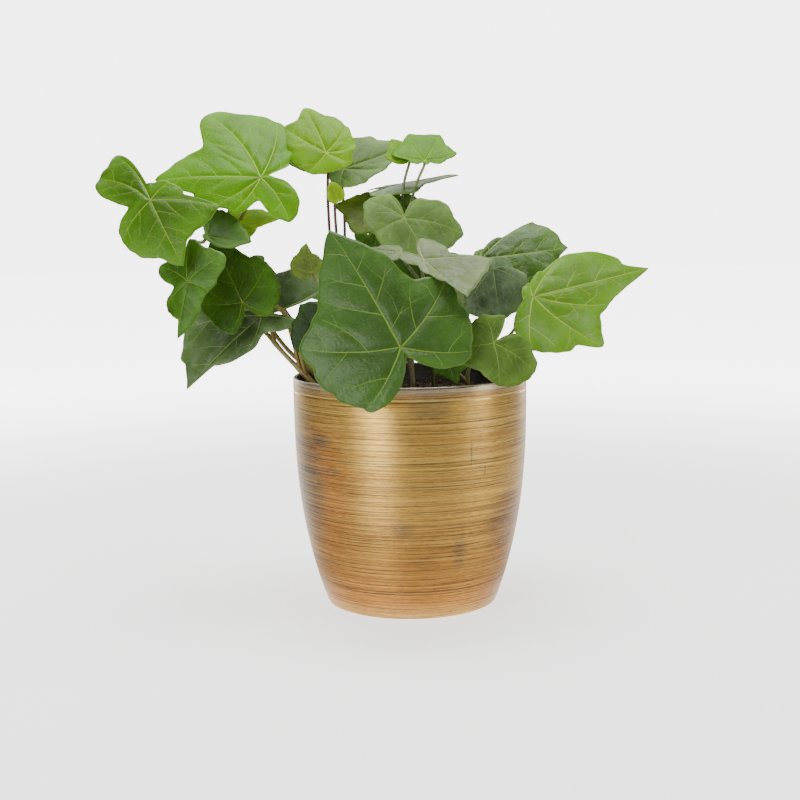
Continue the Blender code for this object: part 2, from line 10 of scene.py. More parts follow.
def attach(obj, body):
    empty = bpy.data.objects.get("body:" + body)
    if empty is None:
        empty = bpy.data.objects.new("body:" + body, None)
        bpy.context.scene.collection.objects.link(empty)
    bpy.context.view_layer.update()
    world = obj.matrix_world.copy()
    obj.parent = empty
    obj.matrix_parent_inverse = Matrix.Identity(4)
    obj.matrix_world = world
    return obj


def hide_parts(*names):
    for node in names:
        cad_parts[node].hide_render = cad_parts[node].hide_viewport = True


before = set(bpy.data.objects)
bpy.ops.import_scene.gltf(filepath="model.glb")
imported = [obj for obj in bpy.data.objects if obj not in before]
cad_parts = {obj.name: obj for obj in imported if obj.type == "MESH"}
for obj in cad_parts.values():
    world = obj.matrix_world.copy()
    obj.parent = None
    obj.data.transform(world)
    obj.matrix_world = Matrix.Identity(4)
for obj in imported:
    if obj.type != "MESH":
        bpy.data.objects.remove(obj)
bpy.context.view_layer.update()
print("frame loaded:", len(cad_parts), "nodes")


class Out:  # a node's output that can be reckoned with: each sign adds a Math node
    def __init__(self, socket):
        self.socket = socket
        self.tree = socket.id_data

    def __add__(self, other):
        return mathOf("ADD", self, other)

    def __sub__(self, other):
        return mathOf("SUBTRACT", self, other)

    def __mul__(self, other):
        return mathOf("MULTIPLY", self, other)

    def __truediv__(self, other):
        return mathOf("DIVIDE", self, other)

    def __abs__(self):
        return mathOf("ABSOLUTE", self)


def feed(socket, value):  # a number, a colour or another node's output
    if isinstance(value, Out):
        value.tree.links.new(value.socket, socket)
    elif value is not None:
        socket.default_value = value


def nodeOf(tree, kind, values=(), pick=0, **settings):  # values go to inputs by place, or by name in a dict
    node = tree.nodes.new(kind)
    for name, value in settings.items():
        setattr(node, name, value)
    for place, value in values.items() if isinstance(values, dict) else enumerate(values):
        feed(node.inputs[place], value)
    return Out(node.outputs[pick])


def treeOf(*values):
    return next(value.tree for value in values if isinstance(value, Out))


def mathOf(operation, *values):
    return nodeOf(treeOf(*values), "ShaderNodeMath", values, operation=operation)


def rangeOf(value, low, high, toLow=0.0, toHigh=1.0):  # a smooth step from low to high
    return nodeOf(value.tree, "ShaderNodeMapRange", (value, low, high, toLow, toHigh),
                  interpolation_type="SMOOTHSTEP")


def noiseOf(vector, scale, detail=2.0, roughness=0.5, distortion=0.0, pick="Fac"):
    values = dict(Vector=vector, Scale=scale, Detail=detail, Roughness=roughness, Distortion=distortion)
    return nodeOf(vector.tree, "ShaderNodeTexNoise", values, pick)


def cellsOf(vector, scale, feature="DISTANCE_TO_EDGE"):
    return nodeOf(vector.tree, "ShaderNodeTexVoronoi", dict(Vector=vector, Scale=scale), "Distance",
                  feature=feature)


def stretched(vector, scale):
    return nodeOf(vector.tree, "ShaderNodeMapping", dict(Vector=vector, Scale=scale))


def mixOf(factor, first, second):
    return nodeOf(treeOf(factor, first, second), "ShaderNodeMix", {0: factor, 6: first, 7: second}, 2,
                  data_type="RGBA")


def layered(colour, *layers):  # colours laid over one another, each with its mask
    for mask, over in layers:
        colour = mixOf(mask, colour, over)
    return colour


def rampOf(factor, *marks):  # marks are (place, colour)
    made = nodeOf(factor.tree, "ShaderNodeValToRGB", [factor])
    elements = made.socket.node.color_ramp.elements
    while len(elements) < len(marks):
        elements.new(0.5)
    for element, (place, colour) in zip(elements, marks):
        element.position = place
        element.color = colour
    return made


def named(node):
    return {socket.name: Out(socket) for socket in node.outputs}


def splitOf(vector):
    return list(named(nodeOf(vector.tree, "ShaderNodeSeparateXYZ", [vector]).socket.node).values())


def uvOf(tree, name):
    return nodeOf(tree, "ShaderNodeUVMap", uv_map=name)


def placeOf(tree):  # the place on the object, in metres
    return nodeOf(tree, "ShaderNodeTexCoord", pick="Object")


def newGroup(name, inputs, outputs):  # inputs are name to kind and value; outputs are names of masks
    group = bpy.data.node_groups.new(name, "ShaderNodeTree")
    for label, (kind, value) in inputs.items():
        group.interface.new_socket(name=label, in_out="INPUT", socket_type=kind).default_value = value
    for label in outputs:
        group.interface.new_socket(name=label, in_out="OUTPUT", socket_type="NodeSocketFloat")
    return group, named(group.nodes.new("NodeGroupInput")), group.nodes.new("NodeGroupOutput")


def placeGroup(tree, group, **values):
    return named(nodeOf(tree, "ShaderNodeGroup", values, node_tree=group).socket.node)


def newMaterial(name, roughness, metallic=0.0):
    made = bpy.data.materials.new(name)
    made.use_nodes = True
    shader = made.node_tree.nodes["Principled BSDF"]
    shader.inputs["Roughness"].default_value = roughness
    shader.inputs["Metallic"].default_value = metallic
    return made, made.node_tree, shader


def paint(shader, colour, rough=None, relief=None, strength=0.5, depth=0.0005):
    feed(shader.inputs["Base Color"], colour)
    feed(shader.inputs["Roughness"], rough)
    if relief:
        values = dict(Strength=strength, Distance=depth, Height=relief)
        feed(shader.inputs["Normal"], nodeOf(relief.tree, "ShaderNodeBump", values))


def rgb(red, green, blue):  # a colour as shown on screen, 0 to 255, as scene light
    return tuple(((value / 255 + 0.055) / 1.055) ** 2.4 if value > 10 else value / 3295
                 for value in (red, green, blue)) + (1.0,)


# The veins of a leaf, from its own UV maps, all counted in lengths of the main vein. Vein holds the
# way along and across the nearest main vein; side and twig the way across the nearest finer vein and
# the share of it; blade the place on the flat leaf; edge the distance to the margin.
veinPlan = dict(netSize=0.036, coarser=0.45, wobble=0.010, mainTip=0.25, twig=0.66, sideTip=0.45, halo=0.085)


def makeVeinGroup():
    plan = veinPlan
    group, given, out = newGroup(
        "leafVeins", dict(MainWidth=("NodeSocketFloat", 0.010), SideWidth=("NodeSocketFloat", 0.0050)),
        ("Main", "Side", "Net", "Halo", "Margin", "Cells", "Inside"))
    read = {label: splitOf(uvOf(group, label)) for label in ("vein", "side", "twig", "edge")}
    blade = uvOf(group, "blade")
    margin, share, _ = read["edge"]
    sway = noiseOf(blade, 9.0) - 0.5
    # main veins, tapering to the tips of the lobes
    off = abs(sway * (plan["wobble"] * 0.7) + read["vein"][1])
    width = given["MainWidth"] * rangeOf(share, 0.0, 1.0, 1.0, plan["mainTip"])
    main = rangeOf(off / width, 0.35, 1.0, 1.0, 0.0) * rangeOf(share, 0.92, 0.99, 1.0, 0.0)
    # side veins and the twigs between them
    lines = []
    for label, thin in (("side", 1.0), ("twig", plan["twig"])):
        across, along, _ = read[label]
        width = given["SideWidth"] * rangeOf(along, 0.0, 1.0, thin, thin * plan["sideTip"])
        line = rangeOf(abs(sway * plan["wobble"] + across) / width, 0.30, 1.0, 1.0, 0.0)
        line = line * rangeOf(along, -0.06, 0.0, 0.0, 1.0)
        lines.append(line * rangeOf(along, 0.70, 1.0, 1.0, 0.0))
    # the net between them
    bend = nodeOf(group, "ShaderNodeVectorMath",
                  (noiseOf(blade, 14.0, pick="Color"), (0.03, 0.03, 0.0), blade), operation="MULTIPLY_ADD")
    coarse, fine = (cellsOf(bend, size / plan["netSize"]) for size in (plan["coarser"], 1.0))
    net = mathOf("MAXIMUM", rangeOf(coarse, 0.01, 0.06, 0.8, 0.0), rangeOf(fine, 0.02, 0.12, 0.6, 0.0))
    made = dict(Main=main, Side=mathOf("MAXIMUM", lines[0], lines[1] * 0.7), Net=net,
                Halo=rangeOf(off, 0.0, plan["halo"], 1.0, 0.0), Cells=fine, Inside=margin,
                Margin=rangeOf(margin, 0.002, 0.010, 1.0, 0.0))
    for label, value in made.items():
        feed(out.inputs[label], value)
    return group


def leafTone(shade, body, light, vein, bloomAndSheen, roughness, gloss=0.16):
    return dict(shade=rgb(*shade), body=rgb(*body), light=rgb(*light), vein=rgb(*vein), bloomAndSheen=bloomAndSheen,
                roughness=roughness, gloss=gloss)


# Greens of the leaves: shade, body and light of the blade, its veins, how much dusty bloom and painted sheen
# it has, roughness
leafTones = {
    "deep": leafTone((47, 73, 23), (62, 96, 30), (80, 121, 41), (132, 170, 62), 0.05, 0.36),
    "dark": leafTone((47, 74, 20), (66, 102, 28), (84, 130, 38), (124, 160, 54), 0.03, 0.36, 0.06),
    "shadow": leafTone((21, 37, 8), (32, 56, 12), (46, 77, 20), (68, 108, 24), 0.02, 0.40),
    "mid": leafTone((50, 82, 16), (70, 113, 22), (90, 143, 31), (150, 186, 66), 0.04, 0.36),
    "bright": leafTone((58, 92, 11), (78, 122, 14), (96, 149, 21), (168, 204, 70), 0.02, 0.34),
    "leafy": leafTone((65, 90, 29), (86, 118, 39), (106, 145, 50), (158, 190, 74), 0.04, 0.38),
    "fresh": leafTone((80, 126, 10), (95, 151, 12), (110, 175, 18), (184, 216, 84), 0.03, 0.38, 0.09),
    "spring": leafTone((96, 139, 8), (114, 165, 10), (130, 189, 16), (200, 222, 92), 0.04, 0.40, 0.09),
    "sunny": leafTone((84, 123, 28), (103, 150, 34), (121, 175, 43), (186, 208, 86), 0.16, 0.40),
    "lime": leafTone((122, 154, 19), (156, 198, 24), (179, 226, 31), (186, 214, 78), 0.02, 0.40, 0.09),
    "olive": leafTone((67, 84, 15), (88, 111, 20), (110, 137, 28), (160, 172, 70), 0.04, 0.42),
    "grey": leafTone((50, 68, 34), (75, 100, 49), (102, 134, 68), (166, 190, 104), 0.24, 0.40),
    "dusk": leafTone((84, 112, 52), (108, 140, 68), (130, 167, 82), (180, 208, 96), 0.12, 0.40, 0.10),
    "ash": leafTone((52, 78, 22), (73, 110, 30), (93, 139, 42), (176, 200, 96), 0.32, 0.40),
    "slate": leafTone((60, 74, 48), (108, 134, 88), (132, 163, 108), (166, 190, 120), 0.32, 0.44),
    "pale": leafTone((90, 108, 62), (110, 132, 76), (132, 157, 92), (194, 210, 134), 0.48, 0.44),
}
bloomAndSheenGrey = rgb(186, 194, 180)
underPale = rgb(126, 152, 84)
spotBrown = rgb(120, 92, 50)
ribGreen = rgb(128, 146, 72)
skinPlan = dict(mainWidth=0.0092, sideWidth=0.0056, fleck=0.30, halo=0.24, net=0.24, inner=0.50, side=0.66,
                main=0.86, margin=0.45, spotScale=7.0, spot=0.85, relief=0.55, depth=0.0005)
underPlan = dict(mainWidth=0.0170, sideWidth=0.0100, pale=0.34, net=0.30, side=0.70, relief=0.7,
                 depth=0.0007)


def makeLeafMaterial(name, tone, veins):
    plan = skinPlan
    made, tree, shader = newMaterial(name, tone["roughness"])
    blade = uvOf(tree, "blade")
    lines = placeGroup(tree, veins, MainWidth=plan["mainWidth"], SideWidth=plan["sideWidth"])
    broad, cloud = noiseOf(blade, 2.4), noiseOf(blade, 11.0, 5.0, 0.6)
    colour = rampOf(cloud * 0.26 + broad * 0.80, (0.38, tone["shade"]), (0.53, tone["body"]),
                    (0.70, tone["light"]))
    fleck = rangeOf(noiseOf(blade, 70.0, 4.0, 0.7), 0.40, 0.66, 0.0, plan["fleck"])
    # painted shade: the blade darker away from its margin, as a cupped leaf is shaded inside, broken up by a
    # broad random tone
    inner = rangeOf((broad - 0.5) * 0.5 + lines["Inside"], 0.06, 0.34, 0.0, plan["inner"])
    # dusty bloom laid on in grey; on the greyest leaves it is also painted sheen, the grey of light glancing
    # off their upper faces
    dustAndSheen = rangeOf(noiseOf(blade, 5.0, 6.0, 0.75, 0.6), 0.42, 0.75) * tone["bloomAndSheen"]
    spot = rangeOf(cellsOf(blade, plan["spotScale"], "F1"), 0.045, 0.080, plan["spot"], 0.0)
    spot = spot * rangeOf(noiseOf(blade, 3.3, 1.0), 0.57, 0.60)
    colour = layered(colour, (fleck, tone["light"]), (lines["Halo"] * plan["halo"], tone["light"]),
                     (lines["Net"] * plan["net"], tone["light"]), (inner, tone["shade"]),
                     (dustAndSheen, bloomAndSheenGrey), (lines["Side"] * plan["side"], tone["vein"]),
                     (lines["Main"] * plan["main"], tone["vein"]),
                     (lines["Margin"] * plan["margin"], tone["vein"]), (spot, spotBrown))
    height = lines["Side"] * -0.7 + lines["Main"] * -1.0 + rangeOf(lines["Cells"], 0.0, 0.35, 0.0, 0.30)
    height = height + noiseOf(blade, 90.0, 3.0) * 0.05
    paint(shader, colour, dustAndSheen * 0.3 + (cloud * 0.22 + (tone["roughness"] - 0.10)), height,
          plan["relief"], plan["depth"])
    shader.inputs["Specular IOR Level"].default_value = tone["gloss"]
    return made


def makeUnderMaterial(name, tone, veins):
    plan = underPlan
    made, tree, shader = newMaterial(name, 0.62)
    lines = placeGroup(tree, veins, MainWidth=plan["mainWidth"], SideWidth=plan["sideWidth"])
    cloud = noiseOf(uvOf(tree, "blade"), 9.0, 4.0, 0.6)
    colour = layered(rampOf(cloud, (0.32, tone["body"]), (0.68, tone["light"])), (plan["pale"], underPale),
                     (lines["Net"] * plan["net"], tone["shade"]),
                     (lines["Side"] * plan["side"], tone["vein"]), (lines["Main"], tone["vein"]))
    height = lines["Net"] * 0.25 + (lines["Side"] * 0.6 + lines["Main"])
    paint(shader, colour, cloud * 0.2 + 0.52, height, plan["relief"], plan["depth"])
    return made


stalkTones = {  # colours at the foot and at the top, and of the freckles
    "redStalk": ((84, 52, 34), (92, 40, 34), (120, 70, 48)),
    "brownStalk": ((136, 112, 46), (138, 138, 54), (88, 60, 40)),
    "oliveStalk": ((104, 84, 50), (132, 132, 66), (86, 62, 40)),
    "greenStalk": ((104, 98, 56), (132, 152, 92), (110, 90, 58)),
    "yellowStalk": ((120, 104, 58), (158, 164, 74), (108, 86, 50)),
}


def makeStalkMaterial(name, foot, top, freckle):
    made, tree, shader = newMaterial(name, 0.45)
    place = placeOf(tree)
    along = nodeOf(tree, "ShaderNodeAttribute", pick="Fac", attribute_name="along")
    streak = noiseOf(stretched(place, (900.0, 900.0, 160.0)), 1.0, 3.0)
    warts = rangeOf(cellsOf(place, 700.0, "F1"), 0.12, 0.28, 0.6, 0.0)
    colour = layered(mixOf(rangeOf(along, 0.0, 1.0), foot, top), (rangeOf(along, 1.0, 1.4), ribGreen),
                     (rangeOf(streak, 0.45, 0.75, 0.0, 0.55), freckle), (warts, freckle))
    paint(shader, colour, streak * 0.3 + 0.32, streak, 0.5, 0.0003)
    return made


# The brushed metal of the pot: each kind of line by its noise's stretch, detail and roughness
brushPlan = dict(Hair=((11.0, 11.0, 1900.0), 2.0, 0.6), Strand=((2.6, 2.6, 400.0), 3.0, 0.62),
                 Band=((3.0, 3.0, 130.0), 3.0, 0.6), Grit=((260.0, 260.0, 2100.0), 2.0, 0.6),
                 Patch=((26.0, 26.0, 40.0), 3.0, 0.5))
brushSway = 0.00016


def makeBrushGroup():
    group, given, out = newGroup("brushedLines", dict(Vector=("NodeSocketVector", (0.0, 0.0, 0.0))),
                                 brushPlan)
    place = given["Vector"]
    shift = nodeOf(group, "ShaderNodeCombineXYZ", dict(Z=(noiseOf(place, 22.0) - 0.5) * brushSway))
    spot = nodeOf(group, "ShaderNodeVectorMath", (place, shift), operation="ADD")
    for label, (scale, detail, roughness) in brushPlan.items():
        feed(out.inputs[label], noiseOf(stretched(spot, scale), 1.0, detail, roughness))
    return group


# The bright gold also paints highlights and floor reflection, the silver a highlight, the dark grey some
# shade
potColours = dict(gold=rgb(206, 162, 76), brown=rgb(160, 104, 56), copper=rgb(204, 128, 62),
                  line=rgb(70, 60, 54), rimHighlightSilver=rgb(196, 188, 176), glow=rgb(246, 212, 126),
                  smudgeAndShade=rgb(98, 92, 82), inside=rgb(30, 24, 20))
# Marks on the pot, stains and scratches of the finish and some painted dark reflection: degrees round from
# the front, height, half width in degrees, half height, strength
potMarksAndShade = [
    # this mark and the next: a darker left edge, partly a stain of the finish and partly painted dark
    # reflection
    (-48, 0.105, 11, 0.0060, 0.80),
    (-63, 0.078, 22, 0.0480, 0.85),
    (58, 0.055, 20, 0.0230, 0.55),
    (-41, 0.088, 8, 0.0040, 0.55),
    # painted dark reflection of the front leaf, just under the rim
    (10, 0.126, 14, 0.0090, 0.55),
    (-4, 0.056, 8, 0.0060, 0.60),
    (26, 0.041, 5, 0.0130, 0.60),
    (58, 0.062, 10, 0.0080, 0.45),
    (128, 0.088, 12, 0.0070, 0.60),
    (-142, 0.052, 9, 0.0090, 0.55),
    (176, 0.112, 8, 0.0060, 0.50),
    (30, 0.098, 0.55, 0.0090, 1.00),
    (38, 0.0885, 0.50, 0.0040, 1.00),
    (38, 0.0862, 0.80, 0.0010, 1.00),
]
potBlushes = [  # broad copper-coloured parts of the finish
    (-50, 0.070, 30, 0.060, 0.85),
    (64, 0.040, 30, 0.045, 0.70),
    (150, 0.075, 40, 0.055, 0.75),
    (-120, 0.035, 26, 0.040, 0.60),
]
potRings = [0.0942, 0.0807, 0.0786, 0.0662, 0.0579, 0.0452, 0.0312, 0.0178]  # heights of the deeper lines
potStrands = [  # where the long noise makes a line, how strong it is, and its colour
    (0.50, 0.80, "line"), (0.42, 0.80, "line"), (0.59, 0.70, "line"), (0.55, 0.40, "glow"),
    (0.46, 0.35, "glow"),
]
potGrain = [  # the range of a noise, the strength at both ends of it, and its colour
    ("Hair", 0.34, 0.48, 0.50, 0.0, "line"), ("Grit", 0.34, 0.48, 0.34, 0.0, "line"),
    ("Hair", 0.54, 0.68, 0.0, 0.30, "glow"), ("Grit", 0.56, 0.72, 0.0, 0.22, "glow"),
]


def markMask(place, turn, high, wide, tall, strength):  # how strongly one mark covers a point of the pot
    x, y, z = splitOf(place)
    wide = math.radians(wide)
    aside = mathOf("ARCTAN2", x, y * -1.0) * (1 / wide) + -math.radians(turn) / wide
    above = z * (1 / tall) + -high / tall
    return rangeOf(aside * aside + above * above, 0.0, 1.0, strength, 0.0)


def makePotMaterial(brush):
    made, tree, shader = newMaterial("potGold", 0.36, 1.0)
    place = placeOf(tree)
    lines = placeGroup(tree, brush, Vector=place)
    high = splitOf(place)[2]
    warm = rangeOf(high, 0.004, 0.090, 0.75, 0.0)
    for mark in potBlushes:
        warm = mathOf("MAXIMUM", warm, markMask(place, *mark))
    # stains of the finish, with painted dark reflection from some of the marks
    stainAndShade = rangeOf(lines["Patch"], 0.60, 0.76, 0.0, 0.45)
    for mark in potMarksAndShade:
        stainAndShade = mathOf("MAXIMUM", stainAndShade, markMask(place, *mark))
    # painted highlight: the lip lighter and silver, where its rounded edge catches the light
    rim = rangeOf(high, 0.130, 0.1366, 0.0, 0.8)
    # painted highlight: a bright gold line along the groove under the lip
    groove = rangeOf(abs(high - (potPlan["height"] - potPlan["band"])), 0.0003, 0.0010, 0.50, 0.0)
    ring = 0.0
    for level in potRings:
        ring = mathOf("MAXIMUM", ring, rangeOf(abs(high - level), 0.0001, 0.0004, 0.85, 0.0))
    layers = [(rangeOf(lines["Band"], 0.36, 0.54, 0.40, 0.0), "brown"),
              (stainAndShade * rangeOf(lines["Strand"], 0.35, 0.60, 1.15, 0.70), "smudgeAndShade"), (rim, "rimHighlightSilver"),
              # painted highlight on the groove, and painted reflection of the bright floor at the very foot
              (groove, "glow"), (rangeOf(high, 0.001, 0.010, 0.45, 0.0), "glow"),
              (ring * rangeOf(lines["Hair"], 0.38, 0.52, 0.25, 1.0), "line"),
              (rangeOf(lines["Strand"], 0.38, 0.50, 0.16, 0.0), "line")]
    broken = rangeOf(lines["Hair"], 0.40, 0.58, 1.0, 0.35)
    for level, share, tone in potStrands:
        layers.append((rangeOf(abs(lines["Strand"] - level), 0.005, 0.018, share, 0.0) * broken, tone))
    for label, low, top, atLow, atTop, tone in potGrain:
        layers.append((rangeOf(lines[label], low, top, atLow, atTop), tone))
    colour = layered(mixOf(warm, potColours["gold"], potColours["copper"]),
                     *((mask, potColours[tone]) for mask, tone in layers))
    relief = lines["Grit"] * 0.5 + (lines["Hair"] * 0.6 + lines["Strand"])
    paint(shader, colour, rim * 0.1 + (lines["Hair"] * 0.22 + 0.22), relief, 0.45, 0.0003)
    shader.inputs["Anisotropic"].default_value = 0.75
    shader.inputs["Anisotropic Rotation"].default_value = 0.25
    return made


def makePotInsideMaterial(brush):
    made, tree, shader = newMaterial("potInside", 0.7)
    lines = placeGroup(tree, brush, Vector=placeOf(tree))
    paint(shader, mixOf(rangeOf(lines["Band"], 0.35, 0.7), potColours["inside"], potColours["line"]),
          relief=lines["Strand"], strength=0.3, depth=0.0004)
    return made


def makeSoilMaterial():
    made, tree, shader = newMaterial("soilPeat", 0.95)
    place = placeOf(tree)
    clods = noiseOf(place, 140.0, 6.0, 0.7)
    fibre = noiseOf(stretched(place, (1500.0, 260.0, 900.0)), 1.0, 2.0)
    colour = rampOf(clods, (0.34, rgb(26, 18, 14)), (0.52, rgb(58, 42, 30)), (0.72, rgb(96, 72, 50)))
    colour = layered(colour, (rangeOf(fibre, 0.62, 0.74, 0.0, 0.6), rgb(128, 98, 66)))
    paint(shader, colour, clods * 0.2 + 0.78, noiseOf(place, 420.0, 6.0, 0.7), 0.9, 0.0012)
    return made


def makeCrumbMaterial(name, dark, light, scale):
    made, tree, shader = newMaterial(name, 0.9)
    grain = noiseOf(placeOf(tree), scale, 5.0, 0.7)
    paint(shader, rampOf(grain, (0.3, dark), (0.7, light)), relief=grain, strength=0.8, depth=0.0006)
    return made


veinGroup = makeVeinGroup()
brushGroup = makeBrushGroup()
leafMaterials = {name: (makeLeafMaterial("leaf_" + name, tone, veinGroup),
                        makeUnderMaterial("under_" + name, tone, veinGroup))
                 for name, tone in leafTones.items()}
stalkMaterials = {name: makeStalkMaterial(name, *(rgb(*tone) for tone in tones))
                  for name, tones in stalkTones.items()}
print("materials made:", len(bpy.data.materials))


# The ivy. The usual lobes of one half of a leaf: sinus, side lobe, sinus, basal lobe, each as the
# angle from the main vein in degrees and the reach as a share of the main vein.
usualLobes = [(30, 0.66), (56, 0.78), (86, 0.52), (128, 0.56)]
roundLobes = [(32, 0.78), (54, 0.82), (84, 0.66), (126, 0.62)]
narrowLobes = [(28, 0.55), (52, 0.70), (84, 0.42), (124, 0.46)]
shoots = {}


def metres(*points):
    return [tuple(value / 1000 for value in point) for point in points]


def leaf(tone, at, aim, facing, size, left=usualLobes, right=usualLobes, notch=0.08, turn=0,
         start=1.0, via=(), elbow=6, **bends):
    at, *via = metres(at, *via)
    return dict(tone=tone, at=at, aim=aim, facing=facing, size=size / 1000, left=left, right=right,
                notch=notch, turn=turn, start=start, via=via, elbow=elbow / 1000, **bends)


def addShoot(name, stalk, stem, *leaves, stout=1.0):
    shoots[name] = dict(stalk=stalk, stem=metres(*stem), leaves=leaves, stout=stout)


# Each shoot, in millimetres: the colour of its stalks, its stem from the soil up, and its leaves, each by
# its tone, the foot of its blade, the ways that its main vein and its upper face look, and its length
addShoot("shoot_left_low", "brownStalk",
         [(-52, -11), (-61, -10, 137), (-75, -8, 151.5), (-86, -6, 164), (-97, -8, 172)],
    leaf("grey", (-87, -13, 174), (-0.72, -0.32, -0.62), (-0.2, -0.75, 0.62), 61,
         left=[(4, 0.65), (28, 0.42), (62, 0.2), (122, 0.37)],
         right=[(16, 0.88), (44, 0.82), (118, 0.46), (198, 0.76)], notch=0.1, turn=36, start=0.72, fold=-5,
         curl=10),
    leaf("dark", (-96, -28, 183), (-0.44, 0.32, 0.84), (0.05, -0.92, 0.38), 46,
         left=[(36, 0.52), (66, 0.54), (99, 0.46), (135, 0.45)],
         right=[(33, 0.63), (54, 0.62), (87, 0.52), (138, 0.4)], notch=0.06, start=0.45, curl=10,
         via=[(-73.5, -13, 175), (-83, -23, 180)]),
    leaf("mid", (-124, -48, 196), (-0.13, -0.38, -0.92), (-0.35, -0.85, 0.4), 34,
         left=[(54, 0.4), (70, 0.4), (96, 0.49), (134, 0.75), (160, 0.66), (188, 0.79)],
         right=[(6, 0.65), (45, 0.55), (78, 0.3), (116, 0.8)], notch=0.4, turn=-24, start=0.38, fold=-14,
         via=[(-74.5, -14.5, 177.5), (-104, -21, 181), (-124, -31, 186)]), stout=1.3)

addShoot("shoot_left_high", "brownStalk",
         [(-48, 14), (-58, 13, 136), (-76, 14, 153), (-92, 18, 176), (-104, 18, 200), (-108, 14, 220)],
    leaf("fresh", (-86, -6, 255), (-1, -0.03, 0.05), (0.05, -0.75, 0.66), 62,
         left=[(18, 0.66), (38, 0.55), (50, 0.49), (60, 0.49), (88, 0.28), (122, 0.57)],
         right=[(36, 0.77), (58, 1.23), (78, 1.08), (96, 0.89), (120, 0.48), (140, 0.34)], turn=-25,
         start=0.98, tips=(0.6, 0.2, 0.1), fold=-5, curl=12, roll=10, via=[(-96, 6, 238)]),
    leaf("bright", (-146, -34, 242), (0.43, -0.58, -0.69), (-0.15, -0.8, 0.58), 49,
         left=[(16, 0.72), (54, 0.82), (72, 0.4), (116, 0.32)],
         right=[(17, 0.79), (58, 0.6), (104, 0.28), (150, 0.89), (160, 0.93), (172, 1.02)], notch=0.26,
         turn=12, start=0.9, fold=-4, curl=15, via=[(-120, 4, 226), (-138, -14, 234)]),
    leaf("dark", (-115, -28, 221.5), (0.96, -0.15, -0.23), (0.1, -0.6, 0.8), 27,
         left=[(42, 0.76), (98, 0.74)], right=[(20, 0.8), (28, 0.72), (66, 0.2), (110, 0.12)], notch=0.1,
         turn=30, start=0.8, roll=-40, curl=-15, via=[(-121, 6, 208), (-123, -12, 217)]),
    leaf("lime", (-103, 6, 228), (0.92, 0.34, 0.12), (0.05, -0.6, 0.8), 29, left=[(24, 0.78), (54, 0.52)],
         right=[(26, 0.46), (80, 0.52)], notch=0.2), stout=1.2)

addShoot("shoot_back_tall", "redStalk", [(-22, 12), (-33, 13, 150), (-41, 15, 180)],
    leaf("spring", (-49, 20, 270), (-0.34, 0.56, 0.75), (0, -0.8, 0.6), 48,
         left=[(12, 0.78), (26, 0.8), (54, 0.54), (122, 0.37)],
         right=[(17, 0.72), (46, 0.54), (72, 0.42), (94, 0.39), (112, 0.33), (134, 0.36)], notch=0.3,
         start=0.95, curl=25, roll=15, tips=(0.3, 0.3, 0.1), via=[(-46, 13, 206), (-48, 12, 241)]),
    leaf("dusk", (-39, 34, 261), (0.89, 0.32, 0.32), (0, -0.7, 0.7), 46,
         left=[(26, 0.72), (56, 0.61), (104, 0.55), (140, 0.78)],
         right=[(4, 0.72), (28, 0.56), (54, 0.4), (124, 0.36)], notch=0.25, start=0.98,
         via=[(-39, 26, 220), (-40, 29, 248)]),
    leaf("lime", (-42, 4, 243), (-0.35, -0.2, 0.9), (0.3, -0.85, 0.3), 10, left=[(60, 0.62)],
         right=[(60, 0.62)], notch=0.3, start=0.9, via=[(-43, 8, 222)]))

addShoot("shoot_centre", "greenStalk", [(2, 10), (-2, 12, 160), (-6, 17, 195), (-6, 24, 222)],
    leaf("dusk", (-2, -6, 230), (0.52, -0.41, -0.75), (0, -0.88, 0.48), 31,
         left=[(20, 1.04), (43, 1.16), (70, 0.9), (112, 0.54)],
         right=[(44, 0.78), (90, 0.65), (118, 0.76), (152, 0.85), (170, 0.74), (182, 0.64)], turn=30,
         start=0.8, curl=15, via=[(-4, 8, 222)]),
    leaf("leafy", (-10, 36, 249.7), (0.97, 0, 0.16), (-0.25, -0.14, 0.96), 41.5,
         right=[(30, 0.58), (56, 0.66), (86, 0.56), (128, 0.5)], roll=25),
    leaf("olive", (-22, 22, 233), (-0.98, -0.07, 0.21), (0.2, -0.7, 0.7), 24, left=[(22, 0.72), (66, 0.88)],
         right=[(34, 0.74), (58, 0.72), (84, 0.8), (116, 1.2)], start=0.9),
    leaf("fresh", (10.5, 16, 264.5), (0.32, 0.7, 0.54), (0, -0.6, 0.8), 28,
         left=[(24, 0.97), (40, 1.05), (62, 0.78), (90, 0.78), (108, 0.36), (140, 0.24)],
         right=[(24, 0.72), (54, 0.73), (72, 0.45), (86, 0.38), (108, 0.14), (140, 0.16)], start=0.98,
         elbow=3, via=[(1.8, 20, 240), (6.3, 18, 253)]),
    leaf("spring", (1, 24, 267), (-0.6, 0.45, 0.6), (0.05, -0.6, 0.8), 18, left=[(30, 0.74), (60, 0.8)],
         right=[(30, 0.74), (60, 0.8)], elbow=3, via=[(-2.5, 24, 250)]),
    leaf("dark", (-21, 8, 211), (-0.7, -0.05, 0.7), (0.1, -0.9, 0.4), 16, start=0.7),
    leaf("leafy", (2, 18, 229), (-0.2, 0.4, 0.9), (0.05, -0.9, 0.4), 19, left=roundLobes, right=roundLobes,
         start=0.9))

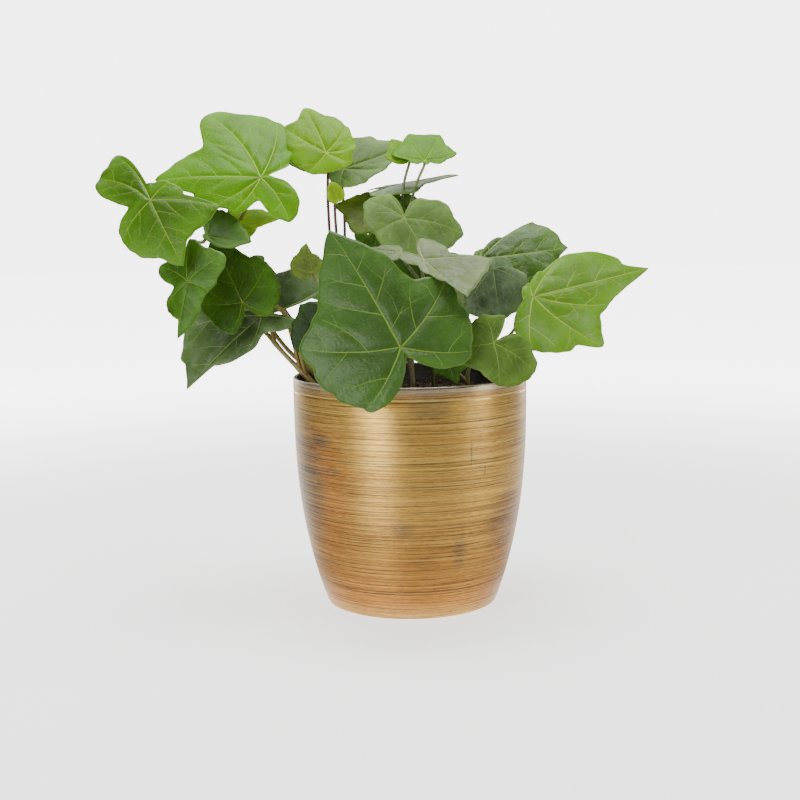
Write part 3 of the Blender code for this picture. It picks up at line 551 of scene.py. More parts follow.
addShoot("shoot_front", "brownStalk", [(-6, -30), (-8, -32, 150), (-9, -32, 172), (-10, -30, 190)],
    leaf("deep", (-4, -84, 161), (-0.48, 0.35, 0.81), (0.04, -0.9, 0.42), 81,
         left=[(39, 0.62), (59, 0.7), (77, 0.6), (123, 0.49)],
         right=[(39, 0.53), (59, 0.64), (84, 0.54), (118, 0.49)], start=0.45, fold=-6, curl=10, roll=14,
         wave=0.012, via=[(-3, -58, 152)]),
    leaf("shadow", (-49, -50, 160), (-0.45, 0.4, 0.79), (-0.1, -0.9, 0.4), 28, left=[(16, 0.8), (42, 0.68)],
         right=[(22, 0.94), (54, 0.62)], start=0.35),
    leaf("olive", (-55, -30, 200), (-0.2, 0.42, 0.89), (-0.1, -0.9, 0.4), 19, left=[(29, 0.78), (56, 0.76)],
         right=[(12, 0.6), (50, 0.48)], notch=0.04, start=0.8, via=[(-30, -32, 186)]),
    leaf("dark", (4, -20, 184), (-0.52, 0.27, 0.81), (0, -0.92, 0.3), 37, left=[(40, 0.74), (74, 0.62)],
         right=[(40, 0.7), (86, 0.6)], start=0.9))

addShoot("shoot_pale", "greenStalk", [(14, -28), (13, -33, 160), (10, -37, 190)],
    leaf("pale", (9, -48, 207), (0.59, -0.65, -0.49), (0, -0.6, 0.8), 40,
         left=[(23, 0.9), (52, 0.96), (74, 0.4), (150, 0.46)],
         right=[(6, 0.56), (22, 0.34), (69, 0.16), (150, 0.37)]),
    leaf("pale", (-5, -42, 211), (-0.98, 0.15, 0.11), (0, -0.6, 0.8), 21, left=[(17, 0.7), (42, 0.52)],
         right=[(12, 0.6), (44, 0.34)]))

addShoot("shoot_right", "oliveStalk", [(28, -4), (32, -6, 155), (36, -6, 178), (38, -2, 192)],
    leaf("ash", (43, -8, 206), (0.98, 0.15, 0.11), (0.05, -0.78, 0.62), 53,
         left=[(18, 0.92), (33, 0.84), (43, 0.41), (72, 0.14)],
         right=[(8, 0.88), (36, 0.64), (50, 0.42), (84, 0.2)], fold=-8),
    leaf("slate", (49, -30, 201), (0.13, -0.2, -0.97), (0.05, -0.95, 0.2), 31,
         left=[(16, 0.92), (54, 0.78), (68, 0.64), (84, 0.36)],
         right=[(22, 0.96), (40, 1), (54, 0.76), (78, 0.42)], notch=0.2, start=0.98),
    leaf("sunny", (71, -40, 185), (0.95, 0.23, 0.24), (0.08, -0.85, 0.5), 75,
         left=[(7, 0.79), (36, 0.47), (52, 0.24), (80, 0.12)],
         right=[(17, 0.62), (22, 0.6), (34, 0.53), (55, 0.64), (70, 0.51), (112, 0.44)], start=0.5, fold=-4,
         curl=10, via=[(57, -28, 161)]))

addShoot("shoot_right_low", "yellowStalk", [(33, -30), (34, -30, 140), (37, -28, 152)],
    leaf("leafy", (47, -66, 161), (-0.98, -0.17, -0.14), (0.1, -0.92, 0.4), 27,
         left=[(49, 0.66), (84, 0.9), (106, 1.01), (134, 1.04), (172, 0.76), (190, 0.56)],
         right=[(44, 0.62), (86, 0.64), (104, 0.6), (124, 0.66)], notch=0.06, turn=-38, curl=10,
         via=[(46, -48, 158)]),
    leaf("mid", (22, -44, 150), (0.25, -0.35, -0.7), (0.1, -0.9, 0.42), 16, start=0.6))

addShoot("shoot_back_left", "redStalk",
         [(-30, 36), (-44, 44, 143), (-70, 56, 162), (-96, 62, 184), (-112, 60, 206), (-114, 54, 235)],
    leaf("mid", (-112, 76, 198), (-0.25, 0.45, -0.8), (-0.35, 0.8, 0.5), 34, start=0.62, curl=20),
    leaf("bright", (-106, 66, 166), (-0.3, 0.4, -0.3), (-0.3, 0.5, 0.8), 26, left=roundLobes,
         right=roundLobes, start=0.45, curl=15),
    leaf("spring", (-108, 56, 258), (-0.35, 0.75, 0.35), (-0.15, -0.1, 0.95), 38, left=roundLobes, fold=-6,
         curl=25),
    leaf("mid", (-85, 40, 192), (-0.35, -0.1, 0.3), (-0.3, 0.1, 0.9), 30, left=narrowLobes, start=0.5,
         curl=20))

addShoot("shoot_back_middle", "brownStalk", [(2, 42), (0, 50, 150), (-6, 56, 176), (-8, 54, 202)],
    leaf("deep", (-14, 92, 166), (0.05, 0.45, -0.85), (-0.02, 0.85, 0.5), 52, start=0.45, fold=-5, curl=20,
         wave=0.02),
    leaf("mid", (-40, 70, 186), (-0.55, 0.55, -0.4), (-0.25, 0.5, 0.8), 38, left=narrowLobes, start=0.7,
         curl=20),
    leaf("dusk", (16, 76, 190), (0.45, 0.65, -0.35), (0.1, 0.6, 0.8), 42, right=roundLobes, start=0.8,
         curl=25),
    leaf("fresh", (-4, 62, 226), (0.1, 0.8, 0.2), (0.05, 0.1, 0.98), 30, left=roundLobes, right=roundLobes,
         curl=25),
    leaf("mid", (18, 46, 208), (0.85, 0.1, -0.1), (0.1, 0.1, 0.98), 32, start=0.92, curl=25),
    leaf("dark", (-24, 44, 168), (-0.75, 0.25, -0.2), (-0.15, 0.2, 0.9), 30, left=roundLobes, start=0.35,
         curl=20))

addShoot("shoot_back_low", "brownStalk", [(-16, 50), (-28, 60, 145), (-42, 68, 154)],
    leaf("leafy", (-50, 88, 144), (-0.25, 0.35, -0.85), (-0.3, 0.9, 0.35), 34, left=roundLobes, curl=15),
    leaf("mid", (-22, 84, 136), (0.1, 0.25, -0.95), (-0.02, 0.95, 0.3), 34, right=narrowLobes, start=0.6,
         curl=10))

addShoot("shoot_back_right", "oliveStalk", [(28, 32), (36, 40, 148), (50, 46, 166), (64, 48, 184)],
    leaf("deep", (60, 66, 190), (0.35, 0.6, -0.4), (0.25, 0.6, 0.75), 38, start=0.9, fold=-5, curl=20),
    leaf("leafy", (92, 50, 184), (0.7, 0.45, -0.3), (0.4, 0.25, 0.85), 36, left=roundLobes, curl=20),
    leaf("dark", (36, 88, 150), (0.05, 0.45, -0.85), (0.18, 0.88, 0.45), 38, left=narrowLobes, start=0.4,
         curl=15),
    leaf("ash", (74, 28, 206), (0.8, 0.15, -0.25), (0.25, 0.05, 0.95), 32, curl=20),
    leaf("mid", (68, 22, 181), (0.8, 0.2, -0.35), (0.5, 0.05, 0.85), 32, right=roundLobes, start=0.3,
         curl=20),
    leaf("bright", (50, 74, 200), (0.15, 0.75, 0.1), (0.1, 0.1, 0.95), 30, start=0.8, curl=25))


plantPlan = dict(stemRadius=0.0013, stemTaper=0.35, petioleRadius=0.0009, tuckDrop=0.0010, crease=0.03,
                 tubeStep=0.0035, stemSides=14, petioleSides=10, knotSwell=0.32, knotLength=0.0035,
                 ribShare=0.62, ribSteps=8)
leafPlan = dict(thickness=0.0005, spokeStep=0.0015, ringStep=0.0024, groove=0.0055, grooveWidth=0.020,
                puff=0.014, puffWidth=0.075, quilt=0.0065, quiltWidth=0.028, ripple=0.012,
                waver=0.009, veinBow=0.055, pointed=(1.0, 0.55, 0.15), spokesLeast=5, rings=(9, 30),
                rippleWaves=((0.6, 7), (0.4, 12), (0.3, 19)), waverWaves=((1.0, 17), (0.8, 29)),
                patternShift=3.7)
potPlan = dict(height=0.137, rim=0.070, base=0.0512, power=2.67, bellyTop=0.967, wall=0.0024, floor=0.003,
               band=0.0078, grooveDepth=0.0002, grooveHalf=0.0008, foot=0.006, edge=0.0016, steps=160,
               rows=45, crowded=1.15, lead=0.0012, bandStart=0.002, bandStep=0.0015, insideRows=24,
               insideTop=0.002, merge=0.000005)
soilPlan = dict(belowRim=0.0125, mound=0.003, gap=0.0003, holeDepth=0.016, rings=46, steps=150,
                clods=0.0016, crumbs=520, crumbSize=(0.0006, 0.0016), paleShare=0.05, seed=5,
                wave=240, finer=1.5, sections=(0.10, 0.07, 0.04, 0.02, potPlan["foot"]))
soilTop = potPlan["height"] - soilPlan["belowRim"]


def unit(vector):
    vector = np.asarray(vector, float)
    return vector / np.linalg.norm(vector)


def leafAxes(spec):  # to the leaf's right, along its main vein, and out of its upper face
    if "axes" not in spec:
        along = unit(spec["aim"])
        facing = np.asarray(spec["facing"], float)
        upward = unit(facing - along * np.dot(facing, along))
        spec["axes"] = (np.cross(along, upward), along, upward)
    return spec["axes"]


def sideKeys(spec, angle):  # the outline's marks on the angle's side, from the tip round to the notch
    side, turn = ("right", spec["turn"]) if angle >= 0 else ("left", -spec["turn"])
    return [(0.0, 1.0)] + list(spec[side]) + [(180 + turn, spec["notch"])]


def stops(spec):
    left = [-angle for angle, share in reversed(sideKeys(spec, -1)[1:])]
    return left + [angle for angle, share in sideKeys(spec, 1)]


def keyGap(keys, turned):
    index = 0
    while index < len(keys) - 2 and turned > keys[index + 1][0]:
        index += 1
    return index


def reach(spec, angle):
    keys = sideKeys(spec, angle)
    turned = abs(angle)
    index = keyGap(keys, turned)
    (firstAngle, first), (lastAngle, last) = keys[index], keys[index + 1]
    share = min(1.0, (turned - firstAngle) / (lastAngle - firstAngle))
    pointed = spec.get("tips", leafPlan["pointed"])
    sharp = pointed[min((index + 1) // 2, len(pointed) - 1)]
    if index % 2 == 1:
        first, last, share = last, first, 1.0 - share
    fall = sharp * (1.0 - share) ** 1.5 + (1.0 - sharp) * (0.5 + 0.5 * math.cos(math.pi * share))
    return last + (first - last) * fall


def lobesOf(spec):  # the main veins: signed angle, length and sideways bow
    found = [(0.0, 1.0, spec.get("bow", 0.010))]
    for side in (1, -1):
        keys = sideKeys(spec, side)[:-1]
        for index in range(2, len(keys), 2):
            found.append((side * keys[index][0], keys[index][1], side * leafPlan["veinBow"]))
    return found


def lobeAt(spec, lobes, angle):
    keys = sideKeys(spec, angle)
    index = min((keyGap(keys, abs(angle)) + 1) // 2 * 2, (len(keys) - 2) // 2 * 2)
    if index == 0:
        return lobes[0]
    wanted = keys[index][0] * (1 if angle >= 0 else -1)
    return min(lobes, key=lambda lobe: abs(lobe[0] - wanted))


def onVein(lobe, angle, radius):  # the way along a main vein and across it, in lengths of the main vein
    turned = math.radians(angle - lobe[0])
    along = radius * math.cos(turned)
    share = min(1.0, max(0.0, along / lobe[1]))
    across = radius * math.sin(turned) - lobe[2] * 4 * share * (1 - share) * lobe[1]
    return along, across, share


def nearestVein(lobes, x, y):  # how far the nearest main vein is, and which
    radius, angle = math.hypot(x, y), math.degrees(math.atan2(x, y))
    found = []
    for number, lobe in enumerate(lobes):
        along, across, _ = onVein(lobe, angle, radius)
        found.append((abs(across) if along > 0 else radius, number))
    return min(found)


branchPlan = dict(first=0.16, spacing=0.225, slant=(46, 58), arch=60, step=0.022, longest=0.60,
                  leastLean=12, margin=0.94, last=0.88, forkAt=0.60, forkTurn=30, forkLength=0.16)


# A fine vein, drawn on until it leaves the blade or meets another main vein
def traceVein(spec, lobes, own, start, heading, side, arch, longest):
    points = [np.asarray(start, float)]
    step = branchPlan["step"]
    lean = lobes[own][0]
    while len(points) * step < longest:
        turned = math.radians(heading)
        points.append(points[-1] + step * np.array((math.sin(turned), math.cos(turned))))
        x, y = points[-1]
        if side * (heading - lean) > branchPlan["leastLean"]:
            heading -= side * arch * step
        outward = math.hypot(x, y) / reach(spec, math.degrees(math.atan2(x, y)))
        near, which = nearestVein(lobes, x, y)
        if outward > branchPlan["margin"] or (which != own and len(points) > 4):
            break
    return np.array(points)


def branchVeins(spec, lobes, draw):  # side veins on every main vein, and the twigs that join and fork them
    plan = branchPlan
    sides, twigs = [], []
    for own, (angle, length, bow) in enumerate(lobes):
        side = draw.choice((-1, 1))
        place = plan["first"] * draw.uniform(0.75, 1.2) * (1.0 if own == 0 else 1.25)
        last = {}
        while place < plan["last"] * length:
            share = place / length
            across = bow * 4 * share * (1 - share) * length
            turned = math.radians(angle)
            start = np.array((place * math.sin(turned) + across * math.cos(turned),
                              place * math.cos(turned) - across * math.sin(turned)))
            slope = math.degrees(math.atan(bow * 4 * (1 - 2 * share)))
            heading = angle + slope + side * draw.uniform(*plan["slant"])
            arch = plan["arch"] * draw.uniform(0.6, 1.3)
            longest = plan["longest"] * draw.uniform(0.8, 1)
            curve = traceVein(spec, lobes, own, start, heading, side, arch, longest)
            strength = draw.uniform(0.75, 1.05) * (1.0 - 0.35 * share)
            if len(curve) > 4:
                sides.append((curve, strength))
                fork = int(len(curve) * plan["forkAt"])
                ahead = curve[fork] - curve[fork - 1]
                aim = math.degrees(math.atan2(ahead[0], ahead[1])) + side * plan["forkTurn"]
                twigs.append((traceVein(spec, lobes, own, curve[fork], aim, side, 0.5 * plan["arch"],
                                        plan["forkLength"]), 0.9))
                if side in last:
                    below = last[side]
                    low, high = below[int(len(below) * 0.50)], curve[int(len(curve) * 0.40)]
                    middle = (low + high) / 2 + 0.10 * draw.uniform(-1, 1) * (high - low)[::-1]
                    joint = [low, (low + middle) / 2, middle, (middle + high) / 2, high]
                    twigs.append((np.array(joint), 0.7))
                last[side] = curve
            place += plan["spacing"] * draw.uniform(0.40, 0.66)
            side = -side
    return sides, twigs


def nearestCurve(curves, points):  # for each point the nearest of the curves
    best = np.full(len(points), 9.0)
    which = np.zeros(len(points), int)
    for number, (curve, strength) in enumerate(curves):
        away = acrossCurve(curve, points)[2]
        closer = away < best
        best[closer] = away[closer]
        which[closer] = number
    return which, best


def acrossCurve(curve, points):  # signed way across a curve, share of its length, and plain distance
    starts, ends = curve[:-1], curve[1:]
    ways = ends - starts
    lengths = np.linalg.norm(ways, axis=1)
    flat = points[:, None, :] - starts[None]
    along = (flat * ways[None]).sum(2) / lengths ** 2
    held = np.clip(along, 0.0, 1.0)
    gap = flat - held[..., None] * ways[None]
    away = np.linalg.norm(gap, axis=2)
    nearest = away.argmin(1)
    rows = np.arange(len(points))
    side = (flat[..., 0] * ways[None, :, 1] - flat[..., 1] * ways[None, :, 0]) / lengths
    steps = held[rows, nearest]
    steps = np.where(nearest == len(starts) - 1, np.maximum(along[rows, nearest], 0.0), steps)
    steps = np.where((nearest == 0) & (along[:, 0] < 0), along[:, 0], steps)
    share = (nearest + steps) / len(starts)
    return side[rows, nearest], share, away[rows, nearest]


def relief(spec, lobes, angle, share, side=0.05):  # let in along its veins, swelling between them
    radius = reach(spec, angle) * share
    turned = math.radians(angle)
    nearest, _ = nearestVein(lobes, radius * math.sin(turned), radius * math.cos(turned))
    plan = leafPlan
    swell = plan["puff"] * (1 - math.exp(-nearest / plan["puffWidth"])) * (1 - 0.75 * share ** 3)
    cut = plan["groove"] * math.exp(-(nearest / plan["grooveWidth"]) ** 2) * (1 - share)
    away = min(side, nearest) / plan["quiltWidth"]
    quilt = plan["quilt"] * (1 - math.exp(-away ** 2)) * (1 - share ** 4)
    return (swell - cut + quilt) * spec["size"]


def bent(x, y, spec, angle=0.0, share=1.0, lift=0.0):
    size = spec["size"]
    crease = plantPlan["crease"] * size
    z = lift + math.tan(math.radians(spec.get("fold", 0))) * (math.hypot(x, crease) - crease)
    z += spec.get("wave", 0) * size * share ** 2 * math.sin(5 * math.radians(angle))
    for name in ("roll", "curl"):
        turn = math.radians(spec.get(name, 0)) / size
        flat = x if name == "roll" else y
        if turn:
            radius = 1 / turn + z
            flat, z = radius * math.sin(flat * turn), radius * math.cos(flat * turn) - 1 / turn
        if name == "roll":
            x = flat
        else:
            y = flat
    return x, y, z


def leafPoint(spec, angle, share, lift=0.0, wider=1.0):
    radius = reach(spec, angle) * spec["size"] * share * wider
    turned = math.radians(angle)
    x, y, z = bent(radius * math.sin(turned), radius * math.cos(turned), spec, angle, share, lift)
    right, along, upward = leafAxes(spec)
    return np.asarray(spec["at"], float) + x * right + y * along + z * upward


def alongPath(points, share):
    points = [np.asarray(point, float) for point in points]
    lengths = [np.linalg.norm(b - a) for a, b in zip(points, points[1:])]
    left = share * sum(lengths)
    for start, end, length in zip(points, points[1:], lengths):
        if left <= length:
            return start + (end - start) * left / length
        left -= length
    return points[-1]


def smoothPath(points, step):
    points = [np.asarray(point, float) for point in points]
    ends = [2 * points[0] - points[1]] + points + [2 * points[-1] - points[-2]]
    out = []
    for a, b, c, d in zip(ends, ends[1:], ends[2:], ends[3:]):
        count = max(1, round(np.linalg.norm(c - b) / step))
        for index in range(count):
            t = index / count
            out.append(0.5 * (2 * b + (c - a) * t + (2 * a - 5 * b + 4 * c - d) * t * t
                              + (3 * b - 3 * c + d - a) * t ** 3))
    return out + [points[-1]]


def stemPoints(shoot):
    x, y = shoot["stem"][0]
    foot = (x, y, soilTop - soilPlan["holeDepth"] + soilPlan["gap"])
    neck = (x, y, soilTop + soilPlan["mound"])
    return [foot, neck] + shoot["stem"][1:]


def petiolePoints(spec, stem):
    right, along, upward = leafAxes(spec)
    at = np.asarray(spec["at"], float)
    under = at - upward * plantPlan["tuckDrop"]
    elbow = under - (0.45 * along + 0.75 * upward) * spec["elbow"]
    via = [np.asarray(point, float) for point in spec["via"]]
    return [alongPath(stem, spec["start"])] + via + [elbow, under]


def meshObject(name, bm, materials):
    mesh = bpy.data.meshes.new(name)
    bm.to_mesh(mesh)
    bm.free()
    for each in materials:
        mesh.materials.append(each)
    made = bpy.data.objects.new(name, mesh)
    bpy.context.scene.collection.objects.link(made)
    return made


def newPiece(name, bm, materials):
    made = meshObject(name, bm, materials)
    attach(made, "root")
    return made


def spunPart(points, steps, merge):  # a section drawn from point to point and spun round the z axis
    bm = bmesh.new()
    section = [bm.verts.new(point) for point in points]
    edges = [bm.edges.new(pair) for pair in zip(section, section[1:])]
    bmesh.ops.spin(bm, geom=section + edges, cent=(0, 0, 0), axis=(0, 0, 1), angle=2 * math.pi,
                   steps=steps, use_merge=True)
    bmesh.ops.remove_doubles(bm, verts=bm.verts, dist=merge)
    return bm


def smoothed(bm):
    bmesh.ops.recalc_face_normals(bm, faces=bm.faces)
    for face in bm.faces:
        face.smooth = True
    return bm


def bladeAngles(spec):  # the spokes of a leaf, closer together where its edge is longer
    marks = stops(spec)
    angles = []
    for low, high in zip(marks, marks[1:]):
        samples = [leafPoint(spec, low + (high - low) * index / 8, 1.0) for index in range(9)]
        length = sum(np.linalg.norm(b - a) for a, b in zip(samples, samples[1:]))
        count = max(leafPlan["spokesLeast"], round(length / leafPlan["spokeStep"]))
        angles += [low + (high - low) * index / count for index in range(count)]
    return angles + [marks[-1]]


def writeFineVeins(disc, flat, curves, layer):  # each corner's way across and along the nearest fine vein
    centres = np.array([sum(flat[vert] for vert in face.verts) / len(face.verts) for face in disc.faces])
    which = nearestCurve(curves, centres)[0]
    corners = [(number, loop) for number, face in enumerate(disc.faces) for loop in face.loops]
    for curveNumber, (curve, strength) in enumerate(curves):
        picked = [loop for number, loop in corners if which[number] == curveNumber]
        if picked:
            across, part, _ = acrossCurve(curve, np.array([flat[loop.vert] for loop in picked]))
            for loop, way, share in zip(picked, across / strength, part):
                loop[layer].uv = (way, share)


def writeMainVeins(disc, spec, lobes, angles, reaches, where, flat, shift):  # and the place on the blade
    vein, blade, edge = (disc.loops.layers.uv[label] for label in ("vein", "blade", "edge"))
    steps = len(angles) - 1
    for face in disc.faces:
        numbers = [where[loop.vert][0] for loop in face.loops if where[loop.vert][1] > 0.0001]
        low, high = min(numbers), max(numbers)
        wrapped = high - low > steps / 2
        lobe = lobeAt(spec, lobes, angles[high] if wrapped else (angles[low] + angles[high]) / 2)
        for loop in face.loops:
            spoke, share = where[loop.vert]
            angle = angles[-1] if wrapped and spoke == 0 else angles[spoke]
            length = reaches[spoke]
            along, across, part = onVein(lobe, angle if share > 0.0001 else lobe[0], length * share)
            loop[vein].uv = (along, across)
            loop[blade].uv = (flat[loop.vert][0] + shift, flat[loop.vert][1])
            loop[edge].uv = (length * (1 - share), part)


def shapeBlade(disc, spec, lobes, angles, where, away, phases):  # lift and wave the flat disc into the leaf
    plan = leafPlan
    for number, vert in enumerate(disc.verts):
        spoke, share = where[vert]
        turned = math.radians(angles[spoke])
        waves = sum(strength * math.sin(count * turned + phase)
                    for (strength, count), phase in zip(plan["rippleWaves"], phases))
        lift = (relief(spec, lobes, angles[spoke], share, away[number])
                + plan["ripple"] * spec["size"] * share ** 3 * waves)
        wavers = sum(strength * math.sin(count * turned + phase)
                     for (strength, count), phase in zip(plan["waverWaves"], phases[3:]))
        wavers += math.sin(11 * turned + phases[5] + math.sin(3 * turned))
        vert.co = leafPoint(spec, angles[spoke], share, lift, 1 + plan["waver"] * share ** 2 * wavers)
    disc.normal_update()
    if sum(face.normal.dot(leafAxes(spec)[2]) for face in disc.faces) < 0:
        bmesh.ops.reverse_faces(disc, faces=disc.faces)


def addBlade(bm, spec, number, first):  # one leaf: a spun disc drawn out to its lobes, then thickened
    plan = leafPlan
    draw = random.Random(number)
    angles = bladeAngles(spec)
    steps = len(angles) - 1
    fewest, most = plan["rings"]
    rings = max(fewest, min(most, round(spec["size"] / plan["ringStep"])))
    disc = spunPart([(0.0, -index / rings, 0.0) for index in range(rings + 1)], steps, 0.00001)
    lobes = lobesOf(spec)
    phases = [draw.uniform(0, 2 * math.pi) for _ in range(6)]
    sides, twigs = branchVeins(spec, lobes, draw)
    for label in ("vein", "side", "twig", "blade", "edge"):
        disc.loops.layers.uv.new(label)
    where, flat = {}, {}
    reaches = [reach(spec, angle) for angle in angles]
    for vert in disc.verts:
        place = (math.degrees(math.atan2(vert.co.x, vert.co.y)) + 180) / 360 * steps
        spoke, share = round(place) % steps, vert.co.length
        where[vert] = (spoke, share)
        radius, turned = reaches[spoke] * share, math.radians(angles[spoke])
        flat[vert] = np.array((radius * math.sin(turned), radius * math.cos(turned)))
    writeFineVeins(disc, flat, sides, disc.loops.layers.uv["side"])
    writeFineVeins(disc, flat, twigs, disc.loops.layers.uv["twig"])
    away = nearestCurve(sides, np.array([flat[vert] for vert in disc.verts]))[1]
    writeMainVeins(disc, spec, lobes, angles, reaches, where, flat, number * plan["patternShift"])
    shapeBlade(disc, spec, lobes, angles, where, away, phases)
    upper = set(disc.faces)
    for face in upper:
        face.material_index = first
    bmesh.ops.solidify(disc, geom=disc.faces[:], thickness=plan["thickness"])
    for face in disc.faces:
        face.smooth = True
        if face not in upper:
            face.material_index = first + 1
    part = bpy.data.meshes.new("leafPart")
    disc.to_mesh(part)
    disc.free()
    bm.from_mesh(part)
    bpy.data.meshes.remove(part)


def addTube(bm, points, radii, sides, shares):  # a round stalk: a circle drawn on from point to point
    layer = bm.verts.layers.float.get("along") or bm.verts.layers.float.new("along")
    aims = [unit(points[min(index + 1, len(points) - 1)] - points[max(index - 1, 0)])
            for index in range(len(points))]
    side = unit(np.cross(aims[0], (0.31, 0.87, 0.19)))  # any way that no stalk starts out along
    ring = bmesh.ops.create_circle(bm, cap_ends=False, segments=sides, radius=1.0)["verts"]
    ringEdges = list({edge for vert in ring for edge in vert.link_edges})
    caps = [ringEdges]
    for number, (point, radius, share) in enumerate(zip(points, radii, shares)):
        if number:
            drawn = bmesh.ops.extrude_edge_only(bm, edges=ringEdges)["geom"]
            fresh = [part for part in drawn if isinstance(part, bmesh.types.BMVert)]
            ringEdges = [part for part in drawn if isinstance(part, bmesh.types.BMEdge)
                         and part.verts[0] in fresh and part.verts[1] in fresh]
            paired = {}
            for vert in fresh:
                for edge in vert.link_edges:
                    other = edge.other_vert(vert)
                    if other in ring:
                        paired[other] = vert
            ring = [paired[vert] for vert in ring]
        side = unit(side - aims[number] * np.dot(side, aims[number]))
        across = np.cross(aims[number], side)
        for index, vert in enumerate(ring):
            turned = 2 * math.pi * index / sides
            vert.co = point + (side * math.cos(turned) + across * math.sin(turned)) * radius
            vert[layer] = share
    caps.append(ringEdges)
    for edges in caps:
        bmesh.ops.holes_fill(bm, edges=edges, sides=sides)


def makeStalks(name, shoot):
    plan = plantPlan
    bm = bmesh.new()
    route = stemPoints(shoot)
    path = [np.asarray(route[0])] + smoothPath(route[1:], plan["tubeStep"])
    knots = [alongPath(route, spec["start"]) for spec in shoot["leaves"]]
    radii = []
    for index, point in enumerate(path):
        radius = shoot["stout"] * plan["stemRadius"] * (1.0 - plan["stemTaper"] * index / len(path))
        near = min(np.linalg.norm(point - knot) for knot in knots)
        radii.append(radius * (1 + plan["knotSwell"] * math.exp(-(near / plan["knotLength"]) ** 2)))
    path.append(path[-1] + unit(path[-1] - path[-2]) * radii[-1] * 0.7)
    radii.append(radii[-1] * 0.45)
    addTube(bm, path, radii, plan["stemSides"], [index / len(path) for index in range(len(path))])
    for spec in shoot["leaves"]:
        points = smoothPath(petiolePoints(spec, route), plan["tubeStep"])
        count = len(points)
        thin = shoot["stout"] * plan["petioleRadius"]
        radii = [thin * (1.0 + 0.25 * math.exp(-index / 1.5)) for index in range(count)]
        shares = [0.25 + 0.75 * index / count for index in range(count)]
        for index in range(1, plan["ribSteps"] + 1):  # the stalk runs on as the rib under the blade
            part = index / plan["ribSteps"]
            share = plan["ribShare"] * part
            radius = thin * (0.85 - 0.70 * part)
            points.append(leafPoint(spec, 0, share, -leafPlan["thickness"] - 0.35 * radius
                                    + relief(spec, lobesOf(spec), 0, share)))
            radii.append(radius)
            shares.append(1.0 + share)
        addTube(bm, points, radii, plan["petioleSides"], shares)
    return newPiece(name + "_stalks", smoothed(bm), [stalkMaterials[shoot["stalk"]]])


def makeLeaves(name, shoot, firstNumber):
    bm = bmesh.new()
    tones = list(dict.fromkeys(spec["tone"] for spec in shoot["leaves"]))
    for index, spec in enumerate(shoot["leaves"]):
        addBlade(bm, spec, firstNumber + index, 2 * tones.index(spec["tone"]))
    materials = [each for tone in tones for each in leafMaterials[tone]]
    return newPiece(name + "_leaves", bm, materials)


leafNumber = 1
for shootName, shootSpec in shoots.items():
    stalks = makeStalks(shootName, shootSpec)
    leaves = makeLeaves(shootName, shootSpec, leafNumber)
    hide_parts(shootName)
    leafNumber += len(shootSpec["leaves"])
print("ivy grown:", leafNumber - 1, "leaves on", len(shoots), "shoots")


# The pot
def potRadius(height):
    plan = potPlan
    share = min(1.0, max(0.0, (plan["bellyTop"] - height / plan["height"]) / plan["bellyTop"]))
    return plan["rim"] - (plan["rim"] - plan["base"]) * share ** plan["power"]


def arcPoints(centre, radius, start, end, count):  # degrees from outwards, turning up
    points = []
    for index in range(count + 1):
        turned = math.radians(start + (end - start) * index / count)
        points.append((centre[0] + radius * math.cos(turned), centre[1] + radius * math.sin(turned)))
    return points


def potSection():  # from the middle of the base up the outside, over the lip and down to the inner floor
    plan = potPlan
    edge = plan["edge"]
    tilt = math.atan(plan["power"] * (plan["rim"] - plan["base"]) / (plan["bellyTop"] * plan["height"]))
    start = edge * (1 - math.sin(tilt))
    middle = (potRadius(start) - edge * math.cos(tilt), edge)
    outside = [(0.0, 0.0), (plan["base"] * 0.5, 0.0)]
    outside += arcPoints(middle, edge, -90, -math.degrees(tilt), 6)
    groove = plan["height"] - plan["band"]
    rise = groove - plan["lead"] - start
    shares = [(index + 1) / plan["rows"] for index in range(plan["rows"])]
    heights = [start + rise * share ** plan["crowded"] for share in shares]
    outside += [(potRadius(height), height) for height in heights]
    for step in range(-4, 5):
        depth = plan["grooveDepth"] * (0.5 + 0.5 * math.cos(math.pi * step / 4))
        height = groove + plan["grooveHalf"] * step / 4
        outside.append((potRadius(height) - depth, height))
    heights = [groove + plan["bandStart"] + plan["bandStep"] * index for index in range(3)]
    outside += [(potRadius(height), height) for height in heights]
    half = plan["wall"] / 2
    outside += arcPoints((plan["rim"] - half, plan["height"] - half), half, 0, 180, 12)
    inside = []
    top = plan["height"] - plan["insideTop"]
    for index in range(plan["insideRows"]):
        height = top - (top - plan["foot"]) * index / (plan["insideRows"] - 1)
        inside.append((potRadius(height) - plan["wall"], height))
    inside += [(inside[-1][0] - 0.002, plan["floor"]), (0.0, plan["floor"])]
    return outside, inside


def makePot():
    outside, inside = potSection()
    bm = smoothed(spunPart([(radius, 0.0, height) for radius, height in outside + inside],
                           potPlan["steps"], potPlan["merge"]))
    lipEdge = potPlan["rim"] - potPlan["wall"] * 0.9
    for face in bm.faces:
        middle = face.calc_center_median()
        inward = face.normal.x * middle.x + face.normal.y * middle.y < 0
        if middle.xy.length < lipEdge and (inward or face.normal.z > 0.9):
            face.material_index = 1
    materials = [makePotMaterial(brushGroup), makePotInsideMaterial(brushGroup)]
    made = newPiece("pot_cup", bm, materials)
    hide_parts("pot")


makePot()
print("pot turned")


# The soil: a rough mound in the pot, with crumbs of peat and a few pale grains on it
def soilHeight(x, y, phases):
    plan = soilPlan
    radius = potRadius(soilTop) - potPlan["wall"]
    share = min(1.0, math.hypot(x, y) / radius)
    bumps = 0.0
    for number, (turn, shift) in enumerate(phases):
        wave = plan["wave"] * plan["finer"] ** number
        bumps += math.sin((x * math.cos(turn) + y * math.sin(turn)) * wave + shift) / (1 + 0.6 * number)
    return soilTop + plan["mound"] * (1 - share ** 2) + plan["clods"] * bumps * 0.35 * (1 - share ** 6)


